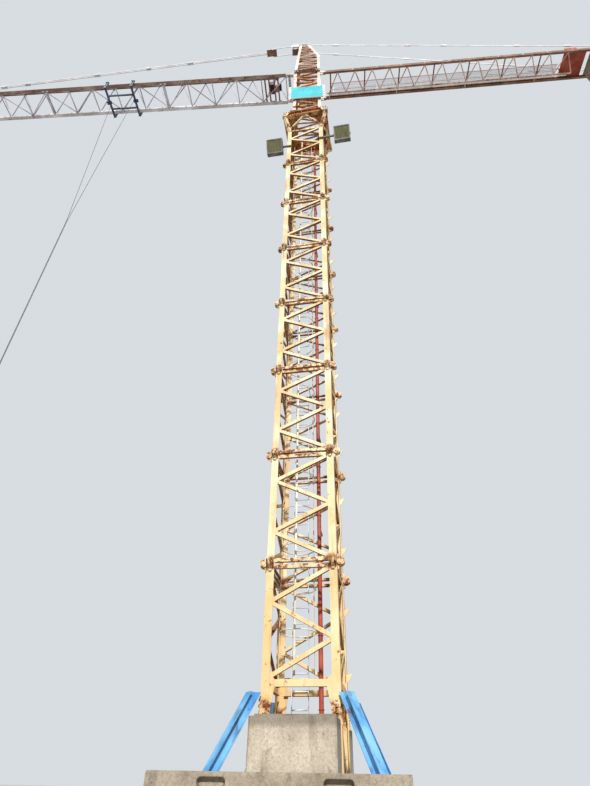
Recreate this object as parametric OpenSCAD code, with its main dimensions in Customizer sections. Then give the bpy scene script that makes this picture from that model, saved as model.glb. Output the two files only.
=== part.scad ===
// Tower crane on a ballasted cross base: lattice mast, slewing tower head, jib with trolley and hook,
// counter-jib with winch and counterweights. Millimetres, Z up, origin on the ground under the mast's axis.

/* [Base] */
// Distance from the mast's axis to a foot, along X and along Y
foot_pos = 3100; // [2900:50:3200]
// Side of a foot's square base plate
foot_plate = 520; // [480:10:600]
// Thickness of a foot's base plate
foot_plate_t = 30; // [20:5:50]
// Diameter of a foot's post
foot_post_d = 190; // [160:10:220]
// Thickness of the ribs round a foot's post
foot_rib_t = 16; // [10:1:24]
// Distance between a foot's anchor bolts
foot_bolt_gap = 400; // [360:10:430]
// Diameter of an anchor bolt hole
foot_hole_d = 33; // [20:1:40]
// Height of the cross beams' underside above the ground
beam_z = 620; // [500:20:800]
// Depth of a cross beam
beam_h = 380; // [300:20:500]
// Width of a cross beam's flanges
beam_w = 260; // [240:10:300]
// Thickness of a cross beam's flanges
beam_flange_t = 24; // [15:1:40]
// Thickness of a cross beam's web
beam_web_t = 18; // [10:1:30]
// Width of the square plates over the crossing of the beams
hub_w = 1000; // [900:20:1100]

/* [Ballast] */
// Height of the beams that the ballast rests on
rest_h = 200; // [160:10:240]
// Gap between a ballast beam and the cross beams under it
rest_gap = 0.2; // [0.1:0.1:0.5]
// Width of the beams that the ballast rests on
rest_w = 180; // [150:10:220]
// Thickness of the flanges and web of those beams
rest_t = 12; // [8:1:20]
// Length of a ballast slab
slab_l = 3460; // [3300:20:3600]
// Depth of a ballast slab, away from the mast
slab_d = 660; // [600:20:700]
// Height of a ballast slab
slab_h = 490; // [400:10:600]
// Distance from the mast's axis to a slab's inner face
slab_in = 2080; // [2000:10:2120]
// Chamfer along a slab's edges
slab_chamfer = 30; // [10:5:50]
// Length of a lifting slot
slot_l = 370; // [250:10:400]
// Height of a lifting slot
slot_h = 95; // [70:5:120]
// Depth of a lifting slot
slot_deep = 70; // [50:5:90]
// Distance from a slab's top to the middle of its slots
slot_down = 110; // [90:5:150]
// Distance between the two lifting slots
slot_gap = 1650; // [1400:20:1900]
// Width of an upright ballast block
block_w = 1380; // [1300:20:1400]
// Depth of an upright ballast block
block_d = 670; // [600:10:700]
// Height of an upright ballast block
block_h = 1210; // [900:10:1300]
// Distance from the mast's axis to a block's inner face
block_in = 850; // [830:10:900]

/* [Mast] */
// Outer width of the mast
mast_w = 1400; // [1380:10:1440]
// Height of one mast section
section_h = 2500; // [2400:50:2600]
// Number of mast sections above the base stub
section_count = 8; // [6:1:9]
// Height of the splice where the first section stands on the base stub
stub_top_z = 2570; // [2500:10:2700]
// Width of a mast leg's angle
leg_w = 150; // [130:5:170]
// Thickness of a mast leg's angle
leg_t = 18; // [12:1:24]
// Thickness of the plate under a mast leg
leg_foot_t = 20; // [12:2:30]
// Width of a mast brace's angle
brace_w = 75; // [60:5:90]
// Thickness of a mast brace's angle
brace_t = 10; // [8:1:14]
// Diameter of a joint lug's round eye
lug_d = 190; // [160:5:210]
// Thickness of a joint lug
lug_t = 60; // [40:5:80]
// Diameter of a joint pin
pin_d = 62; // [40:2:80]
// Height of the splice plate between leg and stub
splice_h = 420; // [360:10:460]
// Thickness of the splice plate
splice_t = 14; // [10:1:20]
// Distance that a climbing hook stands out from its leg
hook_out = 120; // [80:10:160]

/* [Base struts] */
// Depth and width of a strut's section
strut_w = 170; // [140:10:190]
// Thickness of a strut's flanges and web
strut_t = 14; // [10:1:20]
// Height of a strut's upper end
strut_top_z = 2800; // [2750:10:2900]
// Distance from the mast's axis to a strut's upper end, along its diagonal
strut_top_u = 1140; // [1130:5:1150]
// Distance from the mast's axis to a strut's foot, along its diagonal
strut_foot_u = 2260; // [2200:10:2300]
// Gap between a strut and the corner of the mast
strut_gap = 0.3; // [0.2:0.1:1]
// Thickness of the plate under a strut
strut_plate_t = 20; // [12:2:30]

/* [Ladder] */
// Distance between the ladder's rails
ladder_w = 320; // [280:10:360]
// Thickness of a ladder rail
rail_t = 10; // [8:1:14]
// Depth of a ladder rail
rail_d = 50; // [40:5:60]
// Diameter of a rung
rung_d = 26; // [20:1:30]
// Distance between two rungs
rung_gap = 300; // [250:10:350]
// Outer diameter of the red cable riser
riser_d = 90; // [70:5:110]
// Wall of the cable riser
riser_wall = 4; // [3:1:6]

/* [Floodlights] */
// Width and height of a floodlight's face
lamp_w = 620; // [500:20:700]
// Depth of a floodlight's housing
lamp_deep = 200; // [150:10:260]
// Angle that a floodlight looks down
lamp_tilt = 25; // [10:5:40]
// Wall of a floodlight's housing and thickness of its glass
lamp_wall = 6; // [4:1:10]
// Distance that a floodlight's glass lies back from the housing's edge
lamp_glass_in = 8; // [4:1:20]
// Distance from the mast's axis to the left floodlight, along X
lamp_left_x = 1180; // [1160:20:1400]
// Distance from the mast's axis to the right floodlight, along X
lamp_right_x = 1440; // [1300:20:1500]
// Distance from the mast's top down to the left floodlight
lamp_left_drop = 1300; // [1000:50:1500]
// Distance from the mast's top down to the right floodlight
lamp_right_drop = 1050; // [800:50:1300]
// Distance from the mast's front to a floodlight
lamp_y = 120; // [90:10:160]
// Width of the arm that holds a floodlight
lamp_arm = 60; // [40:5:60]

/* [Slewing] */
// Angle that the jib is turned from the mast's own X axis
slew_rest = 5.2; // [0:0.1:15]
// Height of the fixed ring support above the mast
support_h = 1150; // [1000:50:1300]
// Outer width of the ring support's top frame
support_w = 1800; // [1740:20:1900]
// Width of a beam of that frame
support_beam_w = 160; // [120:10:180]
// Height of a beam of that frame
support_beam_h = 300; // [200:10:320]
// Thickness of that beam's flanges and web
support_t = 12; // [8:1:16]
// Width of a corner post of the ring support
support_post_w = 120; // [100:10:140]
// Thickness of the plate under the slewing ring
support_plate_t = 20; // [15:1:30]
// Outer diameter of the slewing ring
ring_d = 1500; // [1400:20:1700]
// Bore of the slewing ring
ring_bore = 1180; // [1100:20:1260]
// Height of each half of the slewing ring
ring_h = 110; // [80:10:150]
// Clearance between the two halves of the slewing ring
ring_gap = 0.3; // [0.2:0.1:1]
// Thickness of the turntable's top plate
table_t = 30; // [20:2:40]
// Distance that the turntable's plate stands out from the tower head
table_rim = 120; // [80:10:160]
// Width of a brace under the ring support's frame
support_brace_w = 60; // [40:5:80]

/* [Tower head] */
// Width of the tower head along the jib
head_w = 1200; // [1160:10:1260]
// Depth of the tower head across the jib, at its foot
head_d = 1320; // [1300:10:1340]
// Depth of the tower head across the jib, at its top
head_top_d = 500; // [460:10:540]
// Height of the tower head
head_h = 8330; // [8000:10:8700]
// Width of the angle of a tower head chord
head_chord = 130; // [110:5:140]
// Thickness of that angle
head_chord_t = 14; // [10:1:18]
// Width of a bar of the tower head's lacing
head_bar_w = 65; // [50:5:80]
// Thickness of a bar of the lacing between the tower head's two faces
head_bar_t = 12; // [8:1:20]
// Number of bays of the lacing below the jib
head_low_bays = 7; // [5:1:8]
// Number of bays of the lacing above the jib
head_high_bays = 8; // [6:1:9]
// Distance from the ends of the lacing to the ends of the chords
head_bar_in = 90; // [70:5:120]
// Distance that a diagonal of the lacing starts above a level bar
head_bar_rise = 45; // [40:5:60]
// Clearance between the side lacing and the flanges beside it
head_bar_gap = 0.4; // [0.2:0.1:0.8]
// Height of the jib's lower chords above the tower head's foot
jib_rise = 3890; // [3700:10:4000]
// Height of the joint in the tower head's chords above the jib's lower chords
knee_up = 230; // [200:10:300]
// Distance from the head's top down to its shoulder, where the rear chords bend in
shoulder_drop = 2000; // [1800:50:2300]
// Distance that the jib-side chords lean in between the joint and the top
jib_lean = 180; // [100:10:250]
// Distance that the rear chords lean in above the shoulder
rear_lean = 500; // [400:10:540]
// Height of the cross beams on the tower head at the level of the jib
cross_beam_h = 130; // [100:10:160]
// Thickness of those cross beams
cross_beam_t = 40; // [30:5:50]
// Thickness of the plate on top of the tower head
cap_t = 30; // [20:2:40]
// Distance that the plate on top stands out from the chords
cap_rim = 40; // [20:5:60]
// Distance from the tower head's middle to a cheek that holds the tie pins
cheek_y = 150; // [130:5:160]
// Thickness of a cheek
cheek_t = 20; // [14:1:30]
// Height of a tie pin above the tower head's top
head_pin_up = 140; // [120:10:180]
// Height of the cheeks above the plate on top
cheek_h = 230; // [200:10:280]
// Distance from the tower head to the pin of the jib's ties
jib_tie_out = 330; // [280:10:400]
// Diameter of the rope pulley at the top
top_sheave_d = 300; // [240:10:320]
// Width of that pulley
top_sheave_w = 80; // [60:5:100]

/* [Sign] */
// Width of the plain sign box
sign_w = 1400; // [1200:20:1460]
// Height of the sign box
sign_h = 1000; // [800:20:1200]
// Thickness of the sign box
sign_t = 40; // [30:5:60]
// Length of the bars that hold the sign box off the head
sign_bar = 60; // [50:5:90]
// Height of the sign box's lower edge above the tower head's foot
sign_up = 1130; // [900:10:1400]
// Width of the bars that hold the sign box
sign_bar_w = 40; // [30:5:60]

/* [Jib] */
// Angle that the jib rises towards its tip
jib_incline = 1.9; // [0:0.1:2.5]
// Wall of the jib's chords
chord_wall = 8; // [6:1:10]
// Distance between the middles of the jib's two lower chords
jib_w = 1130; // [1100:10:1180]
// Height of the jib's upper chord above the lower ones
jib_h = 1250; // [1150:50:1500]
// Distance from the mast's axis to the first bay of the jib and of the counter-jib
jib_root = 1000; // [960:10:1060]
// Length of one jib bay
jib_bay = 1180; // [1100:10:1220]
// Number of jib bays
jib_bays = 20; // [17:1:20]
// Height and width of a chord
chord_h = 90; // [80:5:100]
// Width of a lacing bar
lace = 45; // [35:5:60]
// Thickness of a lacing bar
lace_t = 16; // [10:1:24]
// Height of the jib's floor lacing above the underside of the chords
floor_up = 40; // [20:5:60]
// Width of the flange that the trolley's wheels run on
run_w = 65; // [60:5:75]
// Thickness of that flange
run_t = 14; // [10:1:18]
// Diameter of the pin at the root of a chord
root_pin_d = 50; // [40:2:56]
// Distance from the mast's axis to the root pins
root_pin_x = 800; // [780:5:820]
// Thickness of the lugs at the roots
lug_plate_t = 20; // [14:1:26]
// Distance from the first bay out to the trolley's winch
jib_winch_out = 350; // [300:10:600]
// Length of the trolley winch's bed
jib_winch_l = 700; // [650:10:760]
// Diameter of the trolley winch's drum
jib_drum_d = 240; // [180:10:280]
// Distance between the trolley winch's cheeks
jib_drum_l = 430; // [380:10:460]

/* [Ties] */
// Distance from the mast's axis to where the tie bars hold the jib
tie_pos = 21400; // [20000:100:22000]
// Length of the links between the tower head and the yoke of the jib's ties
link_l = 1000; // [900:10:1100]
// Length of the yoke between its two pins
yoke_l = 320; // [280:10:400]
// Height of the yoke
yoke_h = 130; // [110:10:150]
// Length of a joint sleeve on a tie bar
sleeve_l = 260; // [200:10:320]
// Distance from the counter-jib's end to where its tie bars hold it
cjib_tie_in = 420; // [380:20:500]
// Width of a tie bar
tie_w = 60; // [50:5:80]
// Thickness of a tie bar's eye
tie_t = 30; // [24:2:40]
// Diameter of a tie bar's eye
tie_eye_d = 130; // [110:5:150]
// Diameter of a tie pin
tie_pin_d = 54; // [40:2:60]
// Thickness of the lugs that take the tie pins
tie_lug_t = 40; // [30:2:50]
// Height of a tie pin above the chord that its lug stands on
tie_eye_up = 90; // [80:5:110]

/* [Counter-jib] */
// Angle that the counter-jib rises towards its end
cjib_incline = 1.2; // [0:0.1:2]
// Length of one counter-jib bay
cjib_bay = 800; // [780:10:820]
// Number of counter-jib bays
cjib_bays = 17; // [16:1:17]
// Height of the counter-jib's girders
cjib_h = 180; // [160:10:220]
// Thickness of the girders' flanges and web
girder_t = 10; // [8:1:14]
// Place of the inner stringer, to the back of the counter-jib's middle
stringer_y = 320; // [280:10:360]
// Width of the counter-jib's walkway
walk_w = 560; // [480:20:600]
// Height of the handrail
rail_up = 1050; // [950:25:1150]
// Number of bays between the handrail's posts
post_bays = 6; // [5:1:8]
// Width of a handrail post and rail
post_w = 45; // [35:5:60]
// Thickness of a handrail post and rail
post_t = 12; // [8:1:16]
// Distance from the mast's axis to the hoist winch
winch_x = 11700; // [11400:50:11800]
// Length of the hoist winch's bed
winch_l = 1000; // [900:10:1050]
// Diameter of the hoist winch's drum
drum_d = 460; // [400:10:500]
// Distance between the hoist winch's cheeks
drum_l = 860; // [800:10:900]
// Thickness of a winch's bed
bed_t = 14; // [10:1:20]
// Number of counterweight blocks
weight_count = 3; // [2:1:3]
// Thickness of one counterweight block, along the counter-jib
weight_t = 330; // [280:10:340]
// Gap between two counterweight blocks
weight_gap = 10; // [5:1:20]
// Gap between a counterweight block and the girders beside it
weight_play = 10; // [5:1:20]
// Height of a counterweight block
weight_h = 1000; // [700:50:1200]
// Height of a counterweight block's shoulders
weight_lip = 120; // [100:5:150]

/* [Trolley and hook] */
// Distance from the mast's axis to the trolley's centre
trolley_pos = 9000; // [6000:100:12000]
// Length of the trolley along the jib
trolley_l = 1400; // [1250:25:1450]
// Distance from the jib's underside down to the trolley's frame
trolley_drop = 330; // [280:10:380]
// Diameter of a trolley wheel
wheel_d = 150; // [130:5:170]
// Diameter of a trolley axle
axle_d = 40; // [30:2:50]
// Gap between a chord and the side of a wheel
wheel_side = 8; // [6:1:12]
// Gap between a wheel's flange and the bracket beside it
run_gap = 12; // [10:1:20]
// Clearance under a trolley wheel
wheel_gap = 0.3; // [0.2:0.1:1]
// Distance from the trolley's middle to each fall of the hoist rope
fall_x = 540; // [480:5:545]
// Diameter of the trolley's rope pulleys
fall_sheave_d = 220; // [180:10:240]
// Distance from the trolley down to where the two falls meet
meet_drop = 9600; // [8000:100:11000]
// Height above the block's axle at which the two falls part
part_up = 800; // [600:50:1000]
// Gap between a rope and the pulley beside it
rope_gap = 0.6; // [0.4:0.1:0.9]
// Distance from the middle to each fall where they hang close together
rope_close = 14; // [13:1:20]
// Diameter of a hoist rope
rope_d = 16; // [12:1:20]
// Diameter of the block's pulley
block_sheave_d = 260; // [220:10:280]
// Height of the hook block's axle above the ground
hook_z = 10200; // [10000:50:10800]
// Width of the hook block
block_cheek_w = 300; // [280:10:340]
// Height from the block's axle down to its foot
block_low = 330; // [300:10:360]
// Height from the block's axle up to its top
block_high = 150; // [140:5:180]
// Thickness of a cheek of the block
block_cheek_t = 20; // [12:1:26]
// Gap between the block's pulley and a cheek
block_gap = 7; // [5:1:12]
// Width of the block's pulley
block_sheave_w = 50; // [40:2:60]
// Diameter of the load hook's shank
shank_d = 56; // [40:2:70]
// Length of the load hook's shank
shank_l = 150; // [120:10:200]
// Outer diameter of the load hook's bend
hook_outer_d = 230; // [200:10:260]
// Inner diameter of the load hook's bend
hook_inner_d = 120; // [100:10:140]
// Thickness of the load hook
hook_t = 60; // [40:5:70]

/* [Hidden] */
$fn = 32;

yellow = "#e8c36a";
brown = "#8a5a2c";
blue = "#3f8fd0";
concrete = "#a89f92";
grey = "#c9cdd2";
red = "#a8382c";
turquoise = "#35c6d0";

beam_top = beam_z + beam_h;
slab_z = beam_top + rest_h;
slab_top = slab_z + slab_h;
half_w = mast_w / 2;
mast_top = stub_top_z + section_count * section_h;
leg_mid = half_w - leg_w / 2;
first_rail_z = stub_top_z + 400;
panel_w = mast_w - 2 * leg_t - 2 * brace_t - 4;
brace_span = mast_w - 1.2 * leg_w;
ladder_x = -160;
ladder_y = 260;
riser_x = 250;
riser_y = 180;
ring_z = mast_top + support_h;
head_z = ring_z + 2 * ring_h + ring_gap + table_t;
jib_z = head_z + jib_rise;
pin_z = jib_z + chord_h / 2;
knee_z = jib_z + knee_up;
apex_z = head_z + head_h;
shoulder_z = apex_z - shoulder_drop;
head_lean = atan((head_d - head_top_d) / 2 / (apex_z - knee_z));
face_l = (apex_z - knee_z) / cos(head_lean);
shoulder_v = (shoulder_z - knee_z) / cos(head_lean);
jib_tip = jib_root + jib_bays * jib_bay;
cjib_tip = jib_root + cjib_bays * cjib_bay;
half_jib = jib_w / 2;
side_run = half_jib - chord_h / 4;
side_tilt = atan2(side_run, jib_h - chord_h);
side_len = norm([jib_h - chord_h, side_run]);
root_gap = root_pin_x + 50 - head_w / 2 - lug_plate_t;
jib_tie_x = jib_lean - head_w / 2 - jib_tie_out;
rear_tie_x = head_w / 2 - rear_lean - 60;
head_pin_z = apex_z + head_pin_up;
tie_eye_z = jib_z + jib_h + chord_h + tie_eye_up;
cjib_tie_x = cjib_tip - cjib_tie_in;
cjib_eye_z = jib_z + cjib_h + tie_eye_up;
weights_x = cjib_tie_x - 240;
laced_bays = floor((weights_x - weight_count * (weight_t + weight_gap) - 40 - jib_root) / cjib_bay);
trolley_z = jib_z - trolley_drop;
wheel_z = jib_z + run_t + wheel_gap + wheel_d / 2;

// Where a point of the level jib, at x and z, lies once the jib is turned up about its root pins.
function raised(x, z) = let (dx = x + root_pin_x, dz = z - pin_z)
    [dx * cos(jib_incline) + dz * sin(jib_incline) - root_pin_x, 0,
     pin_z - dx * sin(jib_incline) + dz * cos(jib_incline)];

// The same for a point of the level counter-jib.
function raised_rear(x, z) = let (dx = x - root_pin_x, dz = z - pin_z)
    [dx * cos(cjib_incline) - dz * sin(cjib_incline) + root_pin_x, 0,
     pin_z + dx * sin(cjib_incline) + dz * cos(cjib_incline)];

fall_mid = raised(-trolley_pos, trolley_z + 40);

// A straight strip of width w from point a to point b, in a plane.
module strip(a, b, w) {
    d = b - a;
    translate(a) rotate(atan2(d[1], d[0])) translate([0, -w / 2]) square([norm(d), w]);
}

// A straight bar from point a to point b, w wide across and t thick.
module bar(a, b, w, t) {
    d = b - a;
    translate(a) rotate([0, acos(d[2] / norm(d)), atan2(d[1], d[0])])
        translate([-t / 2, -w / 2, 0]) cube([t, w, norm(d)]);
}

// A straight round bar from point a to point b.
module rod(a, b, dia, sides = 8) {
    d = b - a;
    translate(a) rotate([0, acos(d[2] / norm(d)), atan2(d[1], d[0])])
        cylinder(d = dia, h = norm(d), $fn = sides);
}

// What stands in the plane y = -half_w, turned to one of the four sides of the mast.
module on_side(turn) { rotate([0, 0, turn]) children(); }

// A flat lattice drawn in x and z, of thickness t, with its outer face at y.
module upright(y, t) { translate([0, y + t, 0]) rotate([90, 0, 0]) linear_extrude(t) children(); }

// A beam of I section along X, with its underside on z = 0 and its centre on the origin.
module i_beam(l, w, h, flange, web) {
    translate([-l / 2, -w / 2, 0]) cube([l, w, flange]);
    translate([-l / 2, -w / 2, h - flange]) cube([l, w, flange]);
    translate([-l / 2, -web / 2, 0]) cube([l, web, h]);
}

// Everything above the slewing ring is drawn with the jib along -X and turned to its angle.
module slewed() { rotate([0, 0, slew_rest]) children(); }

// What is drawn on the level jib, turned up about its root pins.
module on_jib() {
    slewed() translate([-root_pin_x, 0, pin_z]) rotate([0, jib_incline, 0])
        translate([root_pin_x, 0, -pin_z]) children();
}

// What is drawn on the level counter-jib, turned up about its root pins.
module on_cjib() {
    slewed() translate([root_pin_x, 0, pin_z]) rotate([0, -cjib_incline, 0])
        translate([-root_pin_x, 0, -pin_z]) children();
}

module cross_base() {
    color(blue) {
        for (turn = [45, 135]) rotate([0, 0, turn]) translate([0, 0, beam_z])
            i_beam(2 * sqrt(2) * (foot_pos + 130), beam_w, beam_h, beam_flange_t, beam_web_t);
        for (z = [beam_z, beam_top - beam_flange_t])
            translate([-hub_w / 2, -hub_w / 2, z]) cube([hub_w, hub_w, beam_flange_t]);
    }
}

// A foot: a drilled base plate, a post and the head plate that carries a cross beam.
module foot() {
    difference() {
        translate([-foot_plate / 2, -foot_plate / 2, 0]) cube([foot_plate, foot_plate, foot_plate_t]);
        for (x = [-1, 1], y = [-1, 1])
            translate([x * foot_bolt_gap / 2, y * foot_bolt_gap / 2, -1])
                cylinder(d = foot_hole_d, h = foot_plate_t + 2);
    }
    translate([0, 0, foot_plate_t]) cylinder(d = foot_post_d, h = beam_z - 2 * foot_plate_t);
    translate([-beam_w / 2, -beam_w / 2, beam_z - foot_plate_t]) cube([beam_w, beam_w, foot_plate_t]);
    for (turn = [0, 90]) rotate([0, 0, turn])
        translate([0, foot_rib_t / 2, foot_plate_t]) rotate([90, 0, 0]) linear_extrude(foot_rib_t)
            polygon([[-foot_plate / 2 + 40, 0], [foot_plate / 2 - 40, 0], [foot_post_d / 2, 180],
                     [-foot_post_d / 2, 180]]);
}

module base_feet() {
    color(blue) for (x = [-1, 1], y = [-1, 1]) translate([x * foot_pos, y * foot_pos, 0]) foot();
}

// The beams that lie across the arms and carry the ballast: two under the slabs, two under the blocks.
module ballast_beams() {
    color(blue) for (s = [-1, 1], y = [slab_in + slab_d / 2, block_in + block_d / 2])
        translate([0, s * y, beam_top + rest_gap])
            i_beam(2 * y + 300, rest_w, rest_h - rest_gap, rest_t, rest_t);
}

// A round-ended slot cut along X, sunk by depth from the face at y = 0.
module slot(l, h, depth) {
    translate([-(l - h) / 2, -1, -h / 2]) cube([l - h, depth + 1, h]);
    for (s = [-1, 1]) translate([s * (l - h) / 2, -1, 0]) rotate([-90, 0, 0]) cylinder(d = h, h = depth + 1);
}

// One ballast slab, lying along X in front of the mast, with two lifting slots in its outer face.
module slab() {
    face = -slab_in - slab_d;
    difference() {
        translate([-slab_l / 2, face, slab_z]) rotate([90, 0, 90]) linear_extrude(slab_l)
            polygon([[slab_chamfer, 0], [slab_d - slab_chamfer, 0], [slab_d, slab_chamfer],
                     [slab_d, slab_h - slab_chamfer], [slab_d - slab_chamfer, slab_h],
                     [slab_chamfer, slab_h], [0, slab_h - slab_chamfer], [0, slab_chamfer]]);
        for (s = [-1, 1]) translate([s * slot_gap / 2, face, slab_top - slot_down])
            slot(slot_l, slot_h, slot_deep);
    }
}

// One upright ballast block between the struts, with a raised lifting rib along its top.
module block() {
    translate([-block_w / 2, -block_in - block_d, slab_z]) {
        linear_extrude(block_h) polygon([[slab_chamfer, 0], [block_w - slab_chamfer, 0], [block_w, slab_chamfer],
                                         [block_w, block_d], [0, block_d], [0, slab_chamfer]]);
        translate([slab_chamfer, block_d / 2 - 60, block_h]) cube([block_w - 2 * slab_chamfer, 120, 50]);
    }
}

module ballast_slab_front() { color(concrete) slab(); }
module ballast_slab_back() { color(concrete) rotate([0, 0, 180]) slab(); }
module ballast_block_front() { color(concrete) block(); }
module ballast_block_back() { color(concrete) rotate([0, 0, 180]) block(); }

module base_struts() {
    color(blue) for (turn = [0, 90, 180, 270]) rotate([0, 0, turn + 45]) {
        rise = beam_top - strut_top_z;
        run = strut_foot_u - strut_top_u;
        long = norm([rise, run]);
        intersection() {
            translate([strut_top_u, 0, strut_top_z]) rotate([0, 90 + atan2(strut_top_z - beam_top, run), 0])
                translate([0, 0, -strut_w]) {
                    for (s = [-1, 1]) translate([s * (strut_w - strut_t) / 2 - strut_t / 2, -strut_w / 2, 0])
                        cube([strut_t, strut_w, long + 3 * strut_w]);
                    translate([-strut_w / 2, -strut_t / 2, 0]) cube([strut_w, strut_t, long + 3 * strut_w]);
                }
            translate([sqrt(2) * half_w + strut_gap, -strut_w, beam_top + strut_plate_t])
                cube([strut_foot_u, 2 * strut_w, strut_top_z - beam_top]);
        }
        translate([strut_foot_u - 200, -beam_w / 2 + 10, beam_top]) cube([400, beam_w - 20, strut_plate_t]);
    }
}

// One corner leg of the mast, with its outer corner at [half_w, -half_w].
module mast_leg() {
    translate([0, 0, beam_top + leg_foot_t]) linear_extrude(mast_top - beam_top - leg_foot_t)
        polygon([[half_w, -half_w], [half_w, -half_w + leg_w], [half_w - leg_t, -half_w + leg_w],
                 [half_w - leg_t, -half_w + leg_t], [half_w - leg_w, -half_w + leg_t], [half_w - leg_w, -half_w]]);
    translate([half_w - leg_w - 20, -half_w - 20, beam_top + rest_gap])
        cube([leg_w + 40, leg_w + 40, leg_foot_t - rest_gap]);
    for (i = [1:section_count - 1]) translate([0, 0, stub_top_z + i * section_h]) joint();
    splice();
    mirror([1, 1, 0]) splice();
}

// The two eye lugs of one section joint, one on each outer face of the leg, with their pins.
module joint() {
    eye(half_w, -half_w + leg_w / 2);
    mirror([1, 1, 0]) eye(half_w, -half_w + leg_w / 2);
}

module eye(x, y) {
    intersection() {
        translate([x + lug_d * 0.3, y + lug_t / 2, 0]) rotate([90, 0, 0]) cylinder(d = lug_d, h = lug_t);
        translate([x - leg_t / 2, y - lug_t, -lug_d]) cube([lug_d, 2 * lug_t, 2 * lug_d]);
    }
    translate([x, y - lug_t / 2, -lug_d * 0.8]) cube([lug_d * 0.22, lug_t, lug_d * 1.6]);
    translate([x + lug_d * 0.4, y + lug_t / 2 + 30, 0]) rotate([90, 0, 0])
        cylinder(d = pin_d, h = lug_t + 60);
}

// The bolted plate that joins a leg to its stub, on the leg's +X face.
module splice() {
    translate([half_w, -half_w + 15, stub_top_z - splice_h / 2]) cube([splice_t, leg_w - 30, splice_h]);
    for (k = [-1, 0, 1]) translate([half_w + splice_t, -half_w + leg_w / 2, stub_top_z + 60 + k * 90])
        rotate([0, 90, 0]) cylinder(d = 52, h = 26, $fn = 6);
}

// A climbing hook on the outer face of a leg on the +X side.
module hook(y, z) {
    translate([half_w, y + 12, z]) rotate([90, 0, 0]) linear_extrude(24)
        polygon([[0, -110], [hook_out * 0.55, -40], [hook_out, 70], [hook_out * 0.6, 40], [0, 30]]);
}

module mast_leg_front_right() { color(yellow) mast_leg(); }
module mast_leg_front_left() { color(yellow) mirror([1, 0, 0]) mast_leg(); }
module mast_leg_back_left() { color(yellow) mirror([1, 0, 0]) mirror([0, 1, 0]) mast_leg(); }

module mast_leg_back_right() {
    color(yellow) {
        mirror([0, 1, 0]) mast_leg();
        for (i = [0:section_count - 1], part = [0.27, 0.75])
            hook(leg_mid, stub_top_z + (i + part) * section_h);
    }
}

// The zigzag braces and rails of one mast side, in a plane, as strips of width w.
module side_lacing(w) {
    x = brace_span / 2;
    for (i = [1:section_count - 1]) {
        z = stub_top_z + i * section_h + brace_w * 1.1;
        h = (section_h - brace_w * 2.2) / 4;
        for (k = [0:3]) zig(x, z + (4 - k) * h, z + (3 - k) * h, k, w);
    }
    low = first_rail_z + brace_w;
    h0 = (stub_top_z + section_h - brace_w * 1.1 - low) / 3;
    for (k = [0:2]) zig(x, low + (3 - k) * h0, low + (2 - k) * h0, k, w);
    for (i = [1:section_count], s = [-1, 1]) {
        z = stub_top_z + i * section_h + s * brace_w * 0.85;
        if (i < section_count || s < 0) strip([-x, z], [x, z], w);
    }
    strip([-x, first_rail_z], [x, first_rail_z], w * 1.5);
    zig(x, stub_top_z - 150, beam_top + 160, 1, w);
}

// One diagonal of a zigzag between x and -x, that starts at x where k is even.
module zig(x, from_z, to_z, k, w) {
    side = k % 2 == 0 ? x : -x;
    strip([side, from_z], [-side, to_z], w);
}

module gusset_outline() {
    x = half_w - leg_t;
    for (s = [-1, 1]) mirror([s < 0 ? 1 : 0, 0])
        polygon([[x, first_rail_z + 260], [x - leg_w - 70, first_rail_z + 60], [x - leg_w - 70, first_rail_z - 60],
                 [x - leg_w, stub_top_z - 60], [x, stub_top_z - 60]]);
}

module mast_side() {
    color(yellow) upright(-half_w + leg_t, brace_t) intersection() {
        union() { side_lacing(brace_w); gusset_outline(); }
        translate([-panel_w / 2, 0]) square([panel_w, mast_top]);
    }
}

module mast_side_front() { on_side(0) mast_side(); }
module mast_side_right() { on_side(90) mast_side(); }
module mast_side_back() { on_side(180) mast_side(); }
module mast_side_left() { on_side(270) mast_side(); }

module ladder() {
    color(grey) {
        for (s = [-1, 1]) translate([ladder_x + s * ladder_w / 2 - rail_t / 2, ladder_y - rail_d / 2, beam_top])
            cube([rail_t, rail_d, mast_top - beam_top]);
        for (z = [beam_top + 150:rung_gap:mast_top - 60]) translate([ladder_x - ladder_w / 2, ladder_y, z])
            rotate([0, 90, 0]) cylinder(d = rung_d, h = ladder_w, $fn = 6);
        for (i = [1:section_count - 1], s = [-1, 1])
            translate([ladder_x + s * ladder_w / 2 - rail_t / 2, ladder_y + rail_d / 2 - 1,
                       stub_top_z + i * section_h + brace_w * 0.85 - 25])
                cube([rail_t, half_w - leg_t - brace_t - ladder_y - rail_d / 2 + 1, 50]);
    }
}

module cable_riser() {
    color(red) translate([riser_x, riser_y, beam_top]) {
        difference() {
            cylinder(d = riser_d, h = mast_top - beam_top);
            translate([0, 0, -1]) cylinder(d = riser_d - 2 * riser_wall, h = mast_top - beam_top + 2);
        }
        for (i = [1:section_count - 1])
            translate([-15, riser_d / 2 - 2, stub_top_z + i * section_h + brace_w * 0.85 - 25])
            cube([30, half_w - leg_t - brace_t - riser_y - riser_d / 2 + 2, 50]);
    }
}

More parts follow.
